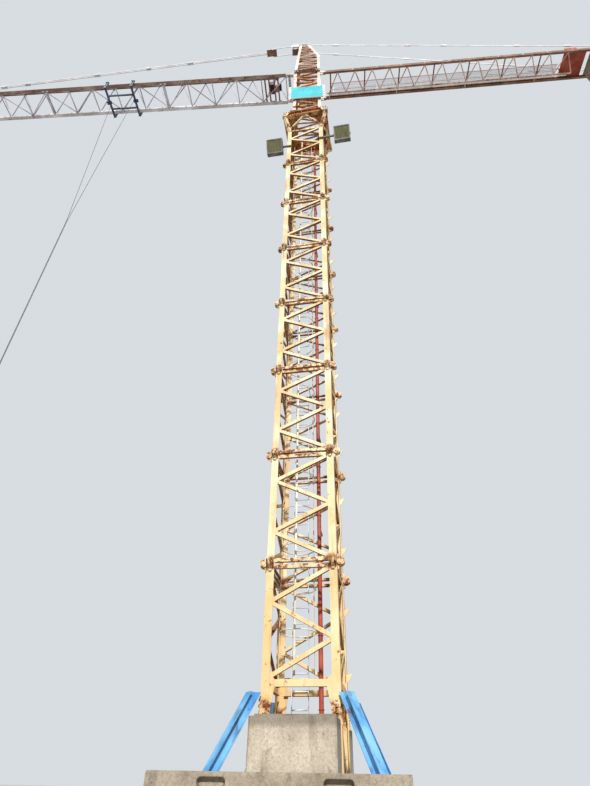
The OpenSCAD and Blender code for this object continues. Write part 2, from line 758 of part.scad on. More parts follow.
// The fixed frame that widens from the mast's top to the slewing ring.
module ring_support() {
    top = ring_z - support_plate_t - support_beam_h;
    reach = (support_w - support_beam_w) / 2;
    color(brown) intersection() {
        union() {
            for (turn = [0, 90, 180, 270]) rotate([0, 0, turn]) {
                bar([leg_mid, -leg_mid, mast_top - 50], [reach, -reach, top + 40], support_post_w, support_post_w);
                for (s = [-1, 1]) bar([s * (leg_mid + 30), -leg_mid - 30, mast_top + 90], [0, -reach, top + 30],
                                      support_brace_w, support_brace_w);
                translate([0, -reach, top])
                    i_beam(support_w, support_beam_w, support_beam_h, support_t, support_t);
            }
            difference() {
                translate([-support_w / 2, -support_w / 2, ring_z - support_plate_t])
                    cube([support_w, support_w, support_plate_t]);
                translate([0, 0, ring_z - support_plate_t - 1]) cylinder(d = ring_bore, h = support_plate_t + 2);
            }
        }
        translate([-support_w, -support_w, mast_top]) cube([2 * support_w, 2 * support_w, support_h]);
    }
}

module ring(z) {
    translate([0, 0, z]) difference() {
        cylinder(d = ring_d, h = ring_h);
        translate([0, 0, -1]) cylinder(d = ring_bore, h = ring_h + 2);
    }
}

module slewing_ring_lower() { color(brown) ring(ring_z); }

// One floodlight: a hollow housing with a glass front that looks down, on an arm from the mast's leg.
module lamp(side, x, z) {
    hollow = lamp_w - 2 * lamp_wall;
    color(grey) mirror([side < 0 ? 1 : 0, 0, 0]) {
        translate([x, -half_w - lamp_y, z]) rotate([lamp_tilt, 0, 0]) {
            difference() {
                translate([-lamp_w / 2, 0, -lamp_w / 2]) cube([lamp_w, lamp_deep, lamp_w]);
                translate([-hollow / 2, -1, -hollow / 2]) cube([hollow, lamp_deep - lamp_wall + 1, hollow]);
            }
            translate([-hollow / 2, lamp_glass_in, -hollow / 2]) cube([hollow, lamp_wall, hollow]);
        }
        translate([half_w - leg_w, -half_w - lamp_arm, z - lamp_arm / 2])
            cube([x - half_w + leg_w, lamp_arm, lamp_arm]);
    }
}

module floodlight_left() { lamp(-1, lamp_left_x, mast_top - lamp_left_drop); }
module floodlight_right() { lamp(1, lamp_right_x, mast_top - lamp_right_drop); }

module turntable() {
    color(brown) slewed() {
        ring(ring_z + ring_h + ring_gap);
        difference() {
            translate([-head_w / 2 - table_rim, -head_d / 2 - table_rim, head_z - table_t])
                cube([head_w + 2 * table_rim, head_d + 2 * table_rim, table_t]);
            translate([0, 0, head_z - table_t - 1]) cylinder(d = ring_bore, h = table_t + 2);
        }
    }
}

// Half the outer depth of the head across the jib at height z.
function head_y(z) = (head_d - (head_d - head_top_d) * max(0, (z - knee_z) / (apex_z - knee_z))) / 2;

// Outer edge of the jib-side chord in a face's own plane, v up the slope from the joint.
function jib_edge(v) = jib_lean * max(0, v / face_l) - head_w / 2;

// Outer edge of the rear chord in the same plane.
function rear_edge(v) = head_w / 2 - rear_lean * max(0, (v - shoulder_v) / (face_l - shoulder_v));

// The flanges of both chords below the joint, w wide, in the face's plane.
module low_flanges(w) {
    for (x = [-head_w / 2, head_w / 2 - w]) translate([x, 0]) square([w, knee_z - head_z]);
}

// The flanges of both chords above the joint, w wide, run past both ends.
module high_flanges(w) {
    over = head_chord / 2;
    k = w * tan(atan(rear_lean / (face_l - shoulder_v)) / 2);
    slant = w / cos(atan(rear_lean / (face_l - shoulder_v)));
    end = face_l + over;
    jib_end = jib_lean * end / face_l - head_w / 2;
    polygon([[-head_w / 2, -over], [-head_w / 2, 0], [jib_end, end], [jib_end + w, end], [w - head_w / 2, 0],
             [w - head_w / 2, -over]]);
    polygon([[head_w / 2, -over], [head_w / 2, shoulder_v], [rear_edge(end), end], [rear_edge(end) - slant, end],
             [head_w / 2 - w, shoulder_v - k], [head_w / 2 - w, -over]]);
}

// Level bars and diagonals of one head face, from height a to height b, as strips between two edges.
module face_lacing(a, b, bays, left, right) {
    step = (b - a) / bays;
    in = head_chord / 2;
    for (i = [0:bays]) strip([left[i] + in, a + i * step], [right[i] - in, a + i * step], head_bar_w);
    for (i = [0:bays - 1]) {
        low = a + i * step + head_bar_rise;
        high = a + (i + 1) * step - head_bar_rise;
        if (i % 2 == 0) strip([left[i] + in, low], [right[i + 1] - in, high], head_bar_w);
        else strip([right[i] - in, low], [left[i + 1] + in, high], head_bar_w);
    }
}

// The lower half of one head face: angle chords, lacing, cross beam and the lugs for both jibs.
module low_face() {
    a = head_bar_in;
    b = knee_z - head_z - head_bar_in;
    edge = [for (i = [0:head_low_bays]) head_w / 2];
    translate([0, 0, head_z]) {
        upright(-head_d / 2, head_chord_t) { low_flanges(head_chord); face_lacing(a, b, head_low_bays, -edge, edge); }
        upright(-head_d / 2, head_chord) low_flanges(head_chord_t);
    }
    translate([-head_w / 2, -head_d / 2 - cross_beam_t, pin_z - cross_beam_h / 2])
        cube([head_w, cross_beam_t + head_chord_t / 2, cross_beam_h]);
    for (end = [-1, 1]) root_lugs(end);
}

// The upper half of one head face, leaning in, cut level at the joint and at the top.
module high_face() {
    a = head_bar_in;
    b = face_l - head_bar_in;
    step = (b - a) / head_high_bays;
    left = [for (i = [0:head_high_bays]) jib_edge(a + i * step)];
    right = [for (i = [0:head_high_bays]) rear_edge(a + i * step)];
    intersection() {
        translate([0, -head_d / 2, knee_z]) rotate([-head_lean, 0, 0]) {
            upright(0, head_chord_t) { high_flanges(head_chord); face_lacing(a, b, head_high_bays, left, right); }
            upright(0, head_chord) high_flanges(head_chord_t);
        }
        translate([-head_w, -head_d, knee_z]) cube([2 * head_w, head_d, apex_z - knee_z]);
    }
}

// The plate and two lugs, with their pin, that hold one chord of the jib or of the counter-jib.
module root_lugs(end) {
    side = half_jib - chord_h / 2;
    mirror([end < 0 ? 1 : 0, 0, 0]) mirror([0, 1, 0]) {
        translate([head_w / 2 - 5, side - lug_plate_t - 20, jib_z - 63])
            cube([lug_plate_t + 5, chord_h + 2 * lug_plate_t + 40, chord_h + 135]);
        for (y = [side - lug_plate_t - 0.5, half_jib + chord_h / 2 + 0.5])
            translate([head_w / 2 + lug_plate_t - 1, y, jib_z - 10]) cube([root_gap, lug_plate_t, chord_h + 20]);
        translate([root_pin_x, side - lug_plate_t - 10, pin_z])
            rotate([-90, 0, 0]) cylinder(d = root_pin_d, h = chord_h + 2 * lug_plate_t + 20);
    }
}

module head_front() { color(yellow) slewed() low_face(); }
module head_back() { color(yellow) slewed() mirror([0, 1, 0]) low_face(); }
module head_front_upper() { color(yellow) slewed() high_face(); }
module head_back_upper() { color(yellow) slewed() mirror([0, 1, 0]) high_face(); }

// Lacing that ties the two faces together, in its own plane, between heights a and b.
module side_zigzag(a, b, bays) {
    step = (b - a) / bays;
    for (i = [0:bays]) strip([-head_d, a + i * step], [head_d, a + i * step], head_bar_w);
    for (i = [0:bays - 1]) {
        ya = head_y(a + i * step) * (i % 2 == 0 ? 1 : -1);
        yb = head_y(a + (i + 1) * step) * (i % 2 == 0 ? -1 : 1);
        strip([ya, a + i * step], [yb, a + (i + 1) * step], head_bar_w);
    }
}

// The room between the two faces' flanges, from height a to height b.
module between_faces(a, b) {
    wall = head_chord_t / cos(head_lean) + head_bar_gap;
    polygon([[-head_y(a) + wall, a], [head_y(a) - wall, a], [head_y(min(knee_z, b)) - wall, min(knee_z, b)],
             [head_y(b) - wall, b], [-head_y(b) + wall, b], [-head_y(min(knee_z, b)) + wall, min(knee_z, b)]]);
}

// Stands a plan drawn in y and z at x, t thick towards the head's middle.
module standing(x, t) { translate([x, 0, 0]) rotate([90, 0, 90]) linear_extrude(t) children(); }

module head_side_jib() {
    a = head_z + head_bar_in + head_bar_w;
    b = knee_z - head_bar_in;
    color(yellow) slewed() standing(-head_w / 2 + head_chord_t + head_bar_gap, head_bar_t) intersection() {
        side_zigzag(a, b, head_low_bays);
        between_faces(head_z + head_bar_in / 2, b + head_bar_w / 2);
    }
    top = apex_z - 3 * head_bar_in;
    tilt = atan(jib_lean / (apex_z - knee_z));
    color(yellow) slewed() translate([-head_w / 2, 0, knee_z]) rotate([0, tilt, 0]) translate([0, 0, -knee_z])
        standing(head_chord_t + head_bar_gap + head_chord * sin(head_lean) * tan(tilt), head_bar_t) intersection() {
            side_zigzag(knee_z + head_bar_in, top, head_high_bays);
            between_faces(knee_z + head_bar_in / 2, top + head_bar_w / 2);
        }
}

module head_side_rear() {
    a = head_z + head_bar_in + head_bar_w;
    b = shoulder_z - 2 * head_bar_in;
    color(yellow) slewed() standing(head_w / 2 - head_chord_t - head_bar_gap - head_bar_t, head_bar_t) intersection() {
        side_zigzag(a, b, head_low_bays + 3);
        between_faces(head_z + head_bar_in / 2, b + head_bar_w / 2);
    }
}

// The cap over the head's chords, with the cheeks that hold the tie pins and the rope's top pulley.
module head_top() {
    left = jib_lean - head_w / 2 - cap_rim;
    right = head_w / 2 - rear_lean + cap_rim;
    pin_l = 2 * (cheek_y + cheek_t + tie_t + 12);
    color(grey) slewed() {
        translate([left, -head_top_d / 2 - cap_rim, apex_z]) cube([right - left, head_top_d + 2 * cap_rim, cap_t]);
        for (s = [-1, 1]) translate([0, s * cheek_y + cheek_t / 2, apex_z + cap_t]) rotate([90, 0, 0])
            linear_extrude(cheek_t) polygon([
                [jib_tie_x - 70, 40], [jib_tie_x - 70, cheek_h - 80], [jib_tie_x + 60, cheek_h],
                [rear_tie_x - 60, cheek_h], [rear_tie_x + 70, cheek_h - 80], [rear_tie_x + 70, 0], [left + 10, 0],
                [left + 10, -5], [left, -5]]);
        for (x = [jib_tie_x, rear_tie_x]) translate([x, -pin_l / 2, head_pin_z])
            rotate([-90, 0, 0]) cylinder(d = tie_pin_d, h = pin_l);
        translate([jib_tie_x + top_sheave_d, -top_sheave_w / 2, head_pin_z - 20])
            rotate([-90, 0, 0]) cylinder(d = top_sheave_d - 60, h = top_sheave_w);
        translate([jib_tie_x + top_sheave_d, -cheek_y, head_pin_z - 20])
            rotate([-90, 0, 0]) cylinder(d = tie_pin_d, h = 2 * cheek_y);
    }
}

// The plain sign box on the head's front face, in its frame.
module head_panel() {
    edge = (sign_w - head_w + head_chord - sign_bar_w) / 2;
    color(turquoise) slewed() translate([-sign_w / 2, -head_d / 2 - sign_t - sign_bar, head_z + sign_up]) {
        cube([sign_w, sign_t, sign_h]);
        for (x = [edge, sign_w - edge - sign_bar_w]) translate([x, sign_t - 1, 80])
            cube([sign_bar_w, sign_bar + 1, sign_h - 160]);
    }
}

module jib_upper_chord() {
    first = jib_root + jib_bay / 2 - 120;
    color(brown) on_jib() {
        hollow_beam([-jib_tip + jib_bay / 2 - 120, -chord_h / 2, jib_z + jib_h],
                    jib_tip - jib_bay / 2 + 120 - first);
        difference() {
            translate([-tie_pos - 150, -tie_lug_t / 2, jib_z + jib_h + chord_h])
                cube([300, tie_lug_t, tie_eye_up + 60]);
            translate([-tie_pos, -tie_lug_t, tie_eye_z]) rotate([-90, 0, 0])
                cylinder(d = tie_pin_d + 0.6, h = 2 * tie_lug_t);
        }
    }
}

// A square hollow beam that runs along +X from corner a, with the chords' height and wall.
module hollow_beam(a, l) {
    translate(a) difference() {
        cube([l, chord_h, chord_h]);
        translate([-1, chord_wall, chord_wall]) cube([l + 2, chord_h - 2 * chord_wall, chord_h - 2 * chord_wall]);
    }
}

// The jib's two lower chords, each with the outer flange that the trolley's wheels run on.
module jib_lower_chords() {
    start = root_pin_x - 60;
    color(grey) on_jib() for (s = [-1, 1]) mirror([0, s < 0 ? 1 : 0, 0]) difference() {
        union() {
            hollow_beam([-jib_tip - 60, half_jib - chord_h / 2, jib_z], jib_tip + 60 - start);
            translate([-jib_tip - 60, half_jib + chord_h / 2 - 1, jib_z])
                cube([jib_tip + 60 - jib_root, run_w + 1, run_t]);
        }
        translate([-root_pin_x, half_jib - chord_h, pin_z])
            rotate([-90, 0, 0]) cylinder(d = root_pin_d + 0.6, h = 2 * chord_h);
    }
}

// The lacing of one jib side, in its own plane: x along the jib, y up the slope, run past both chords.
module jib_lacing() {
    over = chord_h;
    part = over / side_len * jib_bay / 2;
    for (i = [0:jib_bays - 1]) {
        x = -jib_root - i * jib_bay;
        strip([x + part, -over], [x - jib_bay / 2 - part, side_len + over], lace);
        strip([x - jib_bay / 2 + part, side_len + over], [x - jib_bay - part, -over], lace);
    }
}

// One side of the jib, cut level where it meets the lower chord's top and the upper chord's underside.
module jib_side(side) {
    color(grey) on_jib() intersection() {
        translate([0, side * half_jib, jib_z + chord_h]) rotate([90 + side * side_tilt, 0, 0])
            translate([0, 0, -lace_t / 2]) linear_extrude(lace_t) jib_lacing();
        translate([-jib_tip - 1, -jib_w, jib_z + chord_h]) cube([jib_tip - jib_root + 2, 2 * jib_w, jib_h - chord_h]);
    }
}

module jib_side_front() { jib_side(-1); }
module jib_side_back() { jib_side(1); }

module jib_floor() {
    y = half_jib - chord_h / 2;
    color(grey) on_jib() translate([0, 0, jib_z + floor_up]) linear_extrude(lace_t) intersection() {
        for (i = [0:jib_bays]) {
            x = -jib_root - i * jib_bay;
            s = i % 2 == 0 ? -1 : 1;
            strip([x, -y], [x, y], lace);
            if (i < jib_bays) strip([x, s * y], [x - jib_bay, -s * y], lace);
        }
        translate([-jib_tip - 200, -y]) square([jib_tip, 2 * y]);
    }
}

// The trolley's winch: a bed across the lower chords, a drum between two cheeks and its gearbox.
module jib_winch() {
    cheek = 16;
    cheek_h = jib_drum_d + 60;
    color(brown) on_jib() translate([-jib_root - jib_winch_out - jib_winch_l, 0, jib_z + floor_up + lace_t]) {
        translate([0, -half_jib + chord_h / 2, 0]) cube([jib_winch_l, jib_w - chord_h, bed_t]);
        for (s = [-1, 1]) translate([jib_winch_l * 0.31, s * jib_drum_l / 2 - cheek / 2, bed_t - 1])
            cube([jib_drum_d, cheek, cheek_h + 1]);
        translate([jib_winch_l * 0.31 + jib_drum_d / 2, -jib_drum_l / 2, bed_t + cheek_h - jib_drum_d / 2])
            rotate([-90, 0, 0]) cylinder(d = jib_drum_d - 20, h = jib_drum_l);
        translate([jib_winch_l - 190, -jib_drum_l / 3, bed_t - 1]) cube([150, jib_drum_l * 2 / 3, 180]);
    }
}

// A tie bar from eye to eye, both eyes bored along Y.
module tie(a, b) {
    d = b - a;
    u = d / norm(d);
    for (p = [a, b]) translate(p) rotate([90, 0, 0]) rotate(90) translate([0, 0, -tie_t / 2]) difference() {
        cylinder(d = tie_eye_d, h = tie_t);
        translate([0, 0, -1]) cylinder(d = tie_pin_d + 0.6, h = tie_t + 2);
    }
    bar(a + u * (tie_eye_d / 2 - 12), b - u * (tie_eye_d / 2 - 12), tie_t - 6, tie_w);
}

// A sleeve joint at share part of the way from point a to point b of a tie bar.
module sleeve(a, b, part) {
    d = b - a;
    u = d / norm(d);
    bar(a + d * part - u * sleeve_l / 2, a + d * part + u * sleeve_l / 2, tie_t + 20, tie_w + 40);
}

// The jib's ties: two links from the head to a yoke, and two long bars from the yoke to the jib.
module jib_ties() {
    head = [jib_tie_x, 0, head_pin_z];
    jib = raised(-tie_pos, tie_eye_z);
    u = (jib - head) / norm(jib - head);
    link_y = cheek_y + cheek_t / 2 + tie_t / 2 + 1;
    bar_y = tie_lug_t / 2 + tie_t / 2 + 1;
    near = head + u * link_l;
    far = near + u * yoke_l;
    color(grey) slewed() {
        for (s = [-1, 1]) {
            tie(head + [0, s * link_y, 0], near + [0, s * link_y, 0]);
            tie(far + [0, s * bar_y, 0], jib + [0, s * bar_y, 0]);
            for (part = [0.33, 0.66]) sleeve(far + [0, s * bar_y, 0], jib + [0, s * bar_y, 0], part);
        }
        yoke(near, far, link_y - tie_t / 2 - 1);
        for (p = [near, far, jib]) pin_across(p, p == near ? link_y : bar_y);
    }
}

// A pin along Y through two tie eyes at y and -y.
module pin_across(p, y) {
    l = 2 * y + tie_t + 20;
    translate(p - [0, l / 2, 0]) rotate([-90, 0, 0]) cylinder(d = tie_pin_d, h = l);
}

// The yoke: wide where the links hold it, and narrow between the two long bars, bored for both pins.
module yoke(a, b, y) {
    d = b - a;
    difference() {
        translate(a) rotate([0, 90 - atan2(d[2], d[0]), 0]) {
            translate([-yoke_h / 2, -y, -yoke_h / 2]) cube([yoke_h, 2 * y, yoke_l / 2 + yoke_h / 2 - 35]);
            translate([-yoke_h / 2, -tie_lug_t / 2, 0]) cube([yoke_h, tie_lug_t, yoke_l + yoke_h / 2]);
        }
        for (p = [a, b]) translate(p - [0, y + 1, 0]) rotate([-90, 0, 0])
            cylinder(d = tie_pin_d + 0.6, h = 2 * y + 2);
    }
}

// The counter-jib's two channel girders, their backs outwards.
module cjib_girders() {
    start = root_pin_x - 60;
    color(brown) on_cjib() for (s = [-1, 1]) mirror([0, s < 0 ? 1 : 0, 0]) difference() {
        union() {
            translate([start, 0, jib_z]) rotate([90, 0, 90]) linear_extrude(cjib_tip - start)
                channel(half_jib + chord_h / 2);
            translate([cjib_tie_x - 120, half_jib - tie_lug_t / 2, jib_z + cjib_h - 1])
                cube([240, tie_lug_t, tie_eye_up + 61]);
        }
        translate([root_pin_x, half_jib - chord_h, pin_z])
            rotate([-90, 0, 0]) cylinder(d = root_pin_d + 0.6, h = 2 * chord_h);
        translate([cjib_tie_x, half_jib - chord_h, cjib_eye_z])
            rotate([-90, 0, 0]) cylinder(d = tie_pin_d + 0.6, h = 2 * chord_h);
    }
}

// A channel section whose back is at y, open towards the middle, standing on z = 0.
module channel(y) {
    polygon([[y, 0], [y, cjib_h], [y - chord_h, cjib_h], [y - chord_h, cjib_h - girder_t], [y - girder_t, cjib_h - girder_t],
             [y - girder_t, girder_t], [y - chord_h, girder_t], [y - chord_h, 0]]);
}

// The lacing under the counter-jib, its inner stringer and the bars that carry the walkway.
module cjib_bracing() {
    color(grey) on_cjib() translate([0, 0, jib_z - lace_t]) linear_extrude(lace_t) {
        for (i = [0:laced_bays - 1]) {
            x = jib_root + i * cjib_bay;
            strip([x, stringer_y], [x + cjib_bay / 2, -half_jib], lace);
            strip([x + cjib_bay / 2, -half_jib], [x + cjib_bay, stringer_y], lace);
        }
        for (i = [0:4:laced_bays])
            strip([jib_root + i * cjib_bay, stringer_y], [jib_root + i * cjib_bay, half_jib], lace);
        strip([jib_root - 100, stringer_y], [jib_root + laced_bays * cjib_bay, stringer_y], 70);
    }
}

module cjib_walkway() {
    y = half_jib + chord_h / 2 - walk_w;
    l = winch_x - 100 - jib_root;
    color(brown) on_cjib() translate([jib_root + 50, 0, jib_z + cjib_h]) {
        for (x = [0:2 * cjib_bay:l - 100]) translate([x, -half_jib, 0]) cube([60, jib_w, 30]);
        translate([0, y - 60, 30]) cube([l, walk_w, 8]);
        for (s = [0, 1]) translate([0, y - 60 + s * (walk_w - 8), 30]) cube([l, 8, 60]);
    }
}

module cjib_handrail() {
    first = jib_root + 250;
    last = cjib_tip - 700;
    color(grey) on_cjib() upright(half_jib + chord_h / 2 - post_t, post_t) {
        for (i = [0:post_bays]) translate([first + i * (last - first) / post_bays - post_w / 2, jib_z + cjib_h])
            square([post_w, rail_up]);
        for (z = [rail_up / 2, rail_up - post_w]) translate([first, jib_z + cjib_h + z]) square([last - first, post_w]);
    }
}

module cjib_ties() {
    y = half_jib - tie_lug_t / 2 - tie_t / 2 - 1;
    end = raised_rear(cjib_tie_x, cjib_eye_z);
    color(grey) slewed() for (s = [-1, 1]) {
        a = [rear_tie_x, s * (cheek_y + cheek_t / 2 + tie_t / 2 + 1), head_pin_z];
        b = end + [0, s * y, 0];
        tie(a, b);
        for (part = [0.35, 0.7]) sleeve(a, b, part);
        translate([end[0], s * half_jib - tie_lug_t / 2 - tie_t - 10, end[2]])
            rotate([-90, 0, 0]) cylinder(d = tie_pin_d, h = tie_lug_t + 2 * tie_t + 20);
    }
}

// The hoist winch: a bed across the girders, a drum between two cheeks and its gearbox.
module hoist_winch() {
    cheek = 36;
    cheek_h = drum_d + 100;
    color(red) on_cjib() translate([winch_x, 0, jib_z + cjib_h]) {
        translate([0, -half_jib, 0]) cube([winch_l, jib_w, bed_t]);
        for (s = [-1, 1]) translate([winch_l * 0.2, s * drum_l / 2 - cheek / 2, bed_t - 1])
            cube([drum_d + 60, cheek, cheek_h + 1]);
        translate([winch_l * 0.2 + drum_d / 2 + 30, -drum_l / 2, bed_t + cheek_h - drum_d / 2 + 20])
            rotate([-90, 0, 0]) cylinder(d = drum_d - 60, h = drum_l);
        translate([winch_l * 0.74, -drum_l / 3, bed_t - 1]) cube([winch_l * 0.22, drum_l * 2 / 3, 320]);
    }
}

// The counterweights: blocks that hang between the girders on shoulders along their tops.
module counterweights() {
    w = jib_w - chord_h - 2 * weight_play;
    color(concrete) on_cjib() for (i = [0:weight_count - 1])
        translate([weights_x - (i + 1) * (weight_t + weight_gap), 0, jib_z + cjib_h]) {
            translate([0, -half_jib, 0]) cube([weight_t, jib_w, weight_lip]);
            translate([0, -w / 2, weight_lip - weight_h]) cube([weight_t, w, weight_h - weight_lip + 1]);
        }
}

// One corner of the trolley: the bracket outside the chord, its cap and the stub axle.
module trolley_corner() {
    y = half_jib + chord_h / 2 + run_w + run_gap;
    translate([-60, y, trolley_z]) cube([120, 16, wheel_z + 90 - trolley_z]);
    translate([-75, y - 20, wheel_z + 90]) cube([150, 60, 12]);
    translate([0, y - run_gap - run_w + wheel_side, wheel_z]) rotate([-90, 0, 0])
        cylinder(d = axle_d, h = run_w + run_gap - wheel_side + 10);
}

module trolley_frame() {
    y = half_jib + chord_h / 2 + run_w + run_gap + 16;
    sheave_x = (fall_x + (fall_sheave_d + rope_d) / 2 + rope_gap) * cos(jib_incline);
    color(blue) on_jib() translate([-trolley_pos, 0, 0]) {
        for (s = [-1, 1]) {
            translate([s * (trolley_l / 2 - 60) - 40, -y, trolley_z]) cube([80, 2 * y, 80]);
            translate([-trolley_l / 2 + 20, s * 300 - 30, trolley_z]) cube([trolley_l - 40, 60, 80]);
            for (t = [-1, 1]) mirror([0, t < 0 ? 1 : 0, 0])
                translate([s * (trolley_l / 2 - 60), 0, 0]) trolley_corner();
            translate([s * sheave_x, 0, trolley_z + 40 + s * sheave_x * tan(jib_incline)])
                rotate([-90, 0, 0]) {
                translate([0, 0, -330]) cylinder(d = axle_d, h = 660);
                translate([0, 0, -25]) cylinder(d = fall_sheave_d, h = 50);
            }
        }
    }
}

module trolley_wheels() {
    color(grey) on_jib() translate([-trolley_pos, 0, 0])
        for (s = [-1, 1], t = [-1, 1]) mirror([0, t < 0 ? 1 : 0, 0])
            translate([s * (trolley_l / 2 - 60), half_jib + chord_h / 2 + wheel_side, wheel_z])
                rotate([-90, 0, 0])
                difference() {
                    cylinder(d = wheel_d, h = run_w - wheel_side);
                    translate([0, 0, -1]) cylinder(d = axle_d + 0.6, h = run_w);
                }
}

// The two falls of the hoist rope: they meet below the trolley, hang close together and part at the block.
module hoist_falls() {
    mid = fall_mid[0];
    meet_z = fall_mid[2] - meet_drop;
    part_z = hook_z + part_up;
    foot_x = ((block_sheave_d + rope_d) / 2 + rope_gap) / cos(atan2(block_sheave_d / 2, part_up));
    color(grey) slewed() for (s = [-1, 1]) {
        rod([mid + s * fall_x, 0, fall_mid[2]], [mid + s * rope_close, 0, meet_z], rope_d);
        rod([mid + s * rope_close, 0, meet_z], [mid + s * rope_close, 0, part_z], rope_d);
        rod([mid + s * rope_close, 0, part_z], [mid + s * foot_x, 0, hook_z], rope_d);
        for (z = [meet_z, part_z]) translate([mid + s * rope_close, 0, z - 20]) cylinder(d = rope_d + 6, h = 40, $fn = 12);
    }
}

module hook_block() {
    half = block_cheek_w / 2;
    cheek_in = block_sheave_w / 2 + block_gap;
    color(yellow) slewed() translate([fall_mid[0], 0, hook_z]) {
        for (s = [-1, 1]) translate([0, s * (cheek_in + block_cheek_t / 2) + block_cheek_t / 2, 0]) rotate([90, 0, 0])
            linear_extrude(block_cheek_t)
                polygon([[-half + 80, -block_low], [half - 80, -block_low], [half, -half + 30], [half, 60],
                         [half - 70, block_high], [70 - half, block_high], [-half, 60], [-half, 30 - half]]);
        rotate([90, 0, 0]) translate([0, 0, -block_sheave_w / 2]) cylinder(d = block_sheave_d, h = block_sheave_w);
        rotate([90, 0, 0]) translate([0, 0, -cheek_in - block_cheek_t - 8])
            cylinder(d = 50, h = 2 * (cheek_in + block_cheek_t + 8));
        translate([-60, -cheek_in - block_cheek_t + 1, -block_low]) cube([120, 2 * (cheek_in + block_cheek_t - 1), 60]);
    }
}

// The load hook: a shank and an open ring with a mouth.
module load_hook() {
    color(red) slewed() translate([fall_mid[0], 0, hook_z - block_low - 0.3]) {
        translate([0, 0, -shank_l]) cylinder(d = shank_d, h = shank_l);
        translate([0, 0, -shank_l - hook_outer_d / 2 + 25]) rotate([90, 0, 0]) translate([0, 0, -hook_t / 2]) difference() {
            cylinder(d = hook_outer_d, h = hook_t);
            translate([0, 0, -1]) cylinder(d = hook_inner_d, h = hook_t + 2);
            translate([-hook_outer_d / 2 - 35, -15, -1]) cube([110, 75, hook_t + 2]);
        }
    }
}

cross_base();
base_feet();
ballast_beams();
ballast_slab_front();
ballast_slab_back();
ballast_block_front();
ballast_block_back();
base_struts();
mast_leg_front_left();
mast_leg_front_right();
mast_leg_back_left();
mast_leg_back_right();
mast_side_front();
mast_side_back();
mast_side_left();
mast_side_right();
ladder();
cable_riser();
ring_support();
slewing_ring_lower();
floodlight_left();
floodlight_right();
turntable();
head_front();
head_back();
head_front_upper();
head_back_upper();
head_side_jib();
head_side_rear();
head_top();
head_panel();
jib_upper_chord();
jib_lower_chords();
jib_side_front();
jib_side_back();
jib_floor();
jib_winch();
jib_ties();
cjib_girders();
cjib_bracing();
cjib_walkway();
cjib_handrail();
cjib_ties();
hoist_winch();
counterweights();
trolley_frame();
trolley_wheels();
hoist_falls();
hook_block();
load_hook();
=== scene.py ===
import math
import bpy
import bmesh
from mathutils import Matrix, Vector


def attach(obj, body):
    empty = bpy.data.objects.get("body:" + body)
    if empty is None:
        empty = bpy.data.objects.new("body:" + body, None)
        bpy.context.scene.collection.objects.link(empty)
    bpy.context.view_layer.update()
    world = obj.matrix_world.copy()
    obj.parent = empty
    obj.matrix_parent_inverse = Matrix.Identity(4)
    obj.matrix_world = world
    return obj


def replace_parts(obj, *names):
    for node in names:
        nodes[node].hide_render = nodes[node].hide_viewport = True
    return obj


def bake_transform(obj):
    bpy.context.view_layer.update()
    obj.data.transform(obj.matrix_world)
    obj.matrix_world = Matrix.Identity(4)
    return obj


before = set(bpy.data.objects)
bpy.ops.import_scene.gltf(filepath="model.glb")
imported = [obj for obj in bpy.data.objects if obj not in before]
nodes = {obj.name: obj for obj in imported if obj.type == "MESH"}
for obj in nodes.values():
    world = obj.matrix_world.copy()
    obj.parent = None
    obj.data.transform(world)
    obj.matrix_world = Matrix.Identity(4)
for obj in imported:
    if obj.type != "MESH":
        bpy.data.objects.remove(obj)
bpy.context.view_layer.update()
print("crane loaded:", len(nodes), "nodes")


# driving sizes in metres and degrees, the same as the solids'

crane = {"mastWide": 1.4, "sectionHigh": 2.5, "sections": 8, "stubTop": 2.57, "crossTop": 1.0,
         "railUp": 0.4, "legWide": 0.15, "legThick": 0.018, "braceWide": 0.075, "braceThick": 0.01,
         "lugWide": 0.19, "lugThick": 0.06, "slew": 5.2, "supportHigh": 1.15, "supportWide": 1.8,
         "supportBeam": 0.3, "ringHigh": 0.11, "ringGap": 0.0003, "tableThick": 0.03,
         "supportPlate": 0.02, "boltCircle": 1.34}
head = {"wide": 1.2, "deep": 1.32, "topDeep": 0.5, "high": 8.33, "chord": 0.13, "thick": 0.014,
        "bar": 0.065, "barThick": 0.012, "barIn": 0.09, "barRise": 0.045, "lowBays": 7, "highBays": 8,
        "shoulderDrop": 2.0, "jibLean": 0.18, "rearLean": 0.5, "kneeUp": 0.23, "pinUp": 0.14,
        "pinOut": 0.75, "cheekY": 0.15, "cheek": 0.02}
jib = {"wide": 1.13, "high": 1.25, "root": 1.0, "bay": 1.18, "bays": 20, "chord": 0.09, "lace": 0.045,
       "laceThick": 0.016, "floorUp": 0.04, "pinOut": 0.8, "rise": 3.89, "incline": 1.9, "tieBay": 21.4,
       "tieEye": 0.09, "winchLong": 0.7, "winchIn": 0.35}
counter = {"root": 1.0, "incline": 1.2, "bay": 0.8, "bays": 17, "high": 0.18, "tieIn": 0.42,
           "winchOut": 11.7}
trolley = {"out": 9.0, "long": 1.4, "drop": 0.33, "fallOut": 0.54, "pulley": 0.22, "rope": 0.016,
           "run": 0.065, "runThick": 0.014, "runGap": 0.012, "wheel": 0.15, "sheaveUp": 0.04,
           "axleIn": 0.06}
hook = {"axle": 10.2, "low": 0.33, "shank": 0.15, "outer": 0.23, "inner": 0.12, "pulley": 0.26,
        "cheekIn": 0.032}

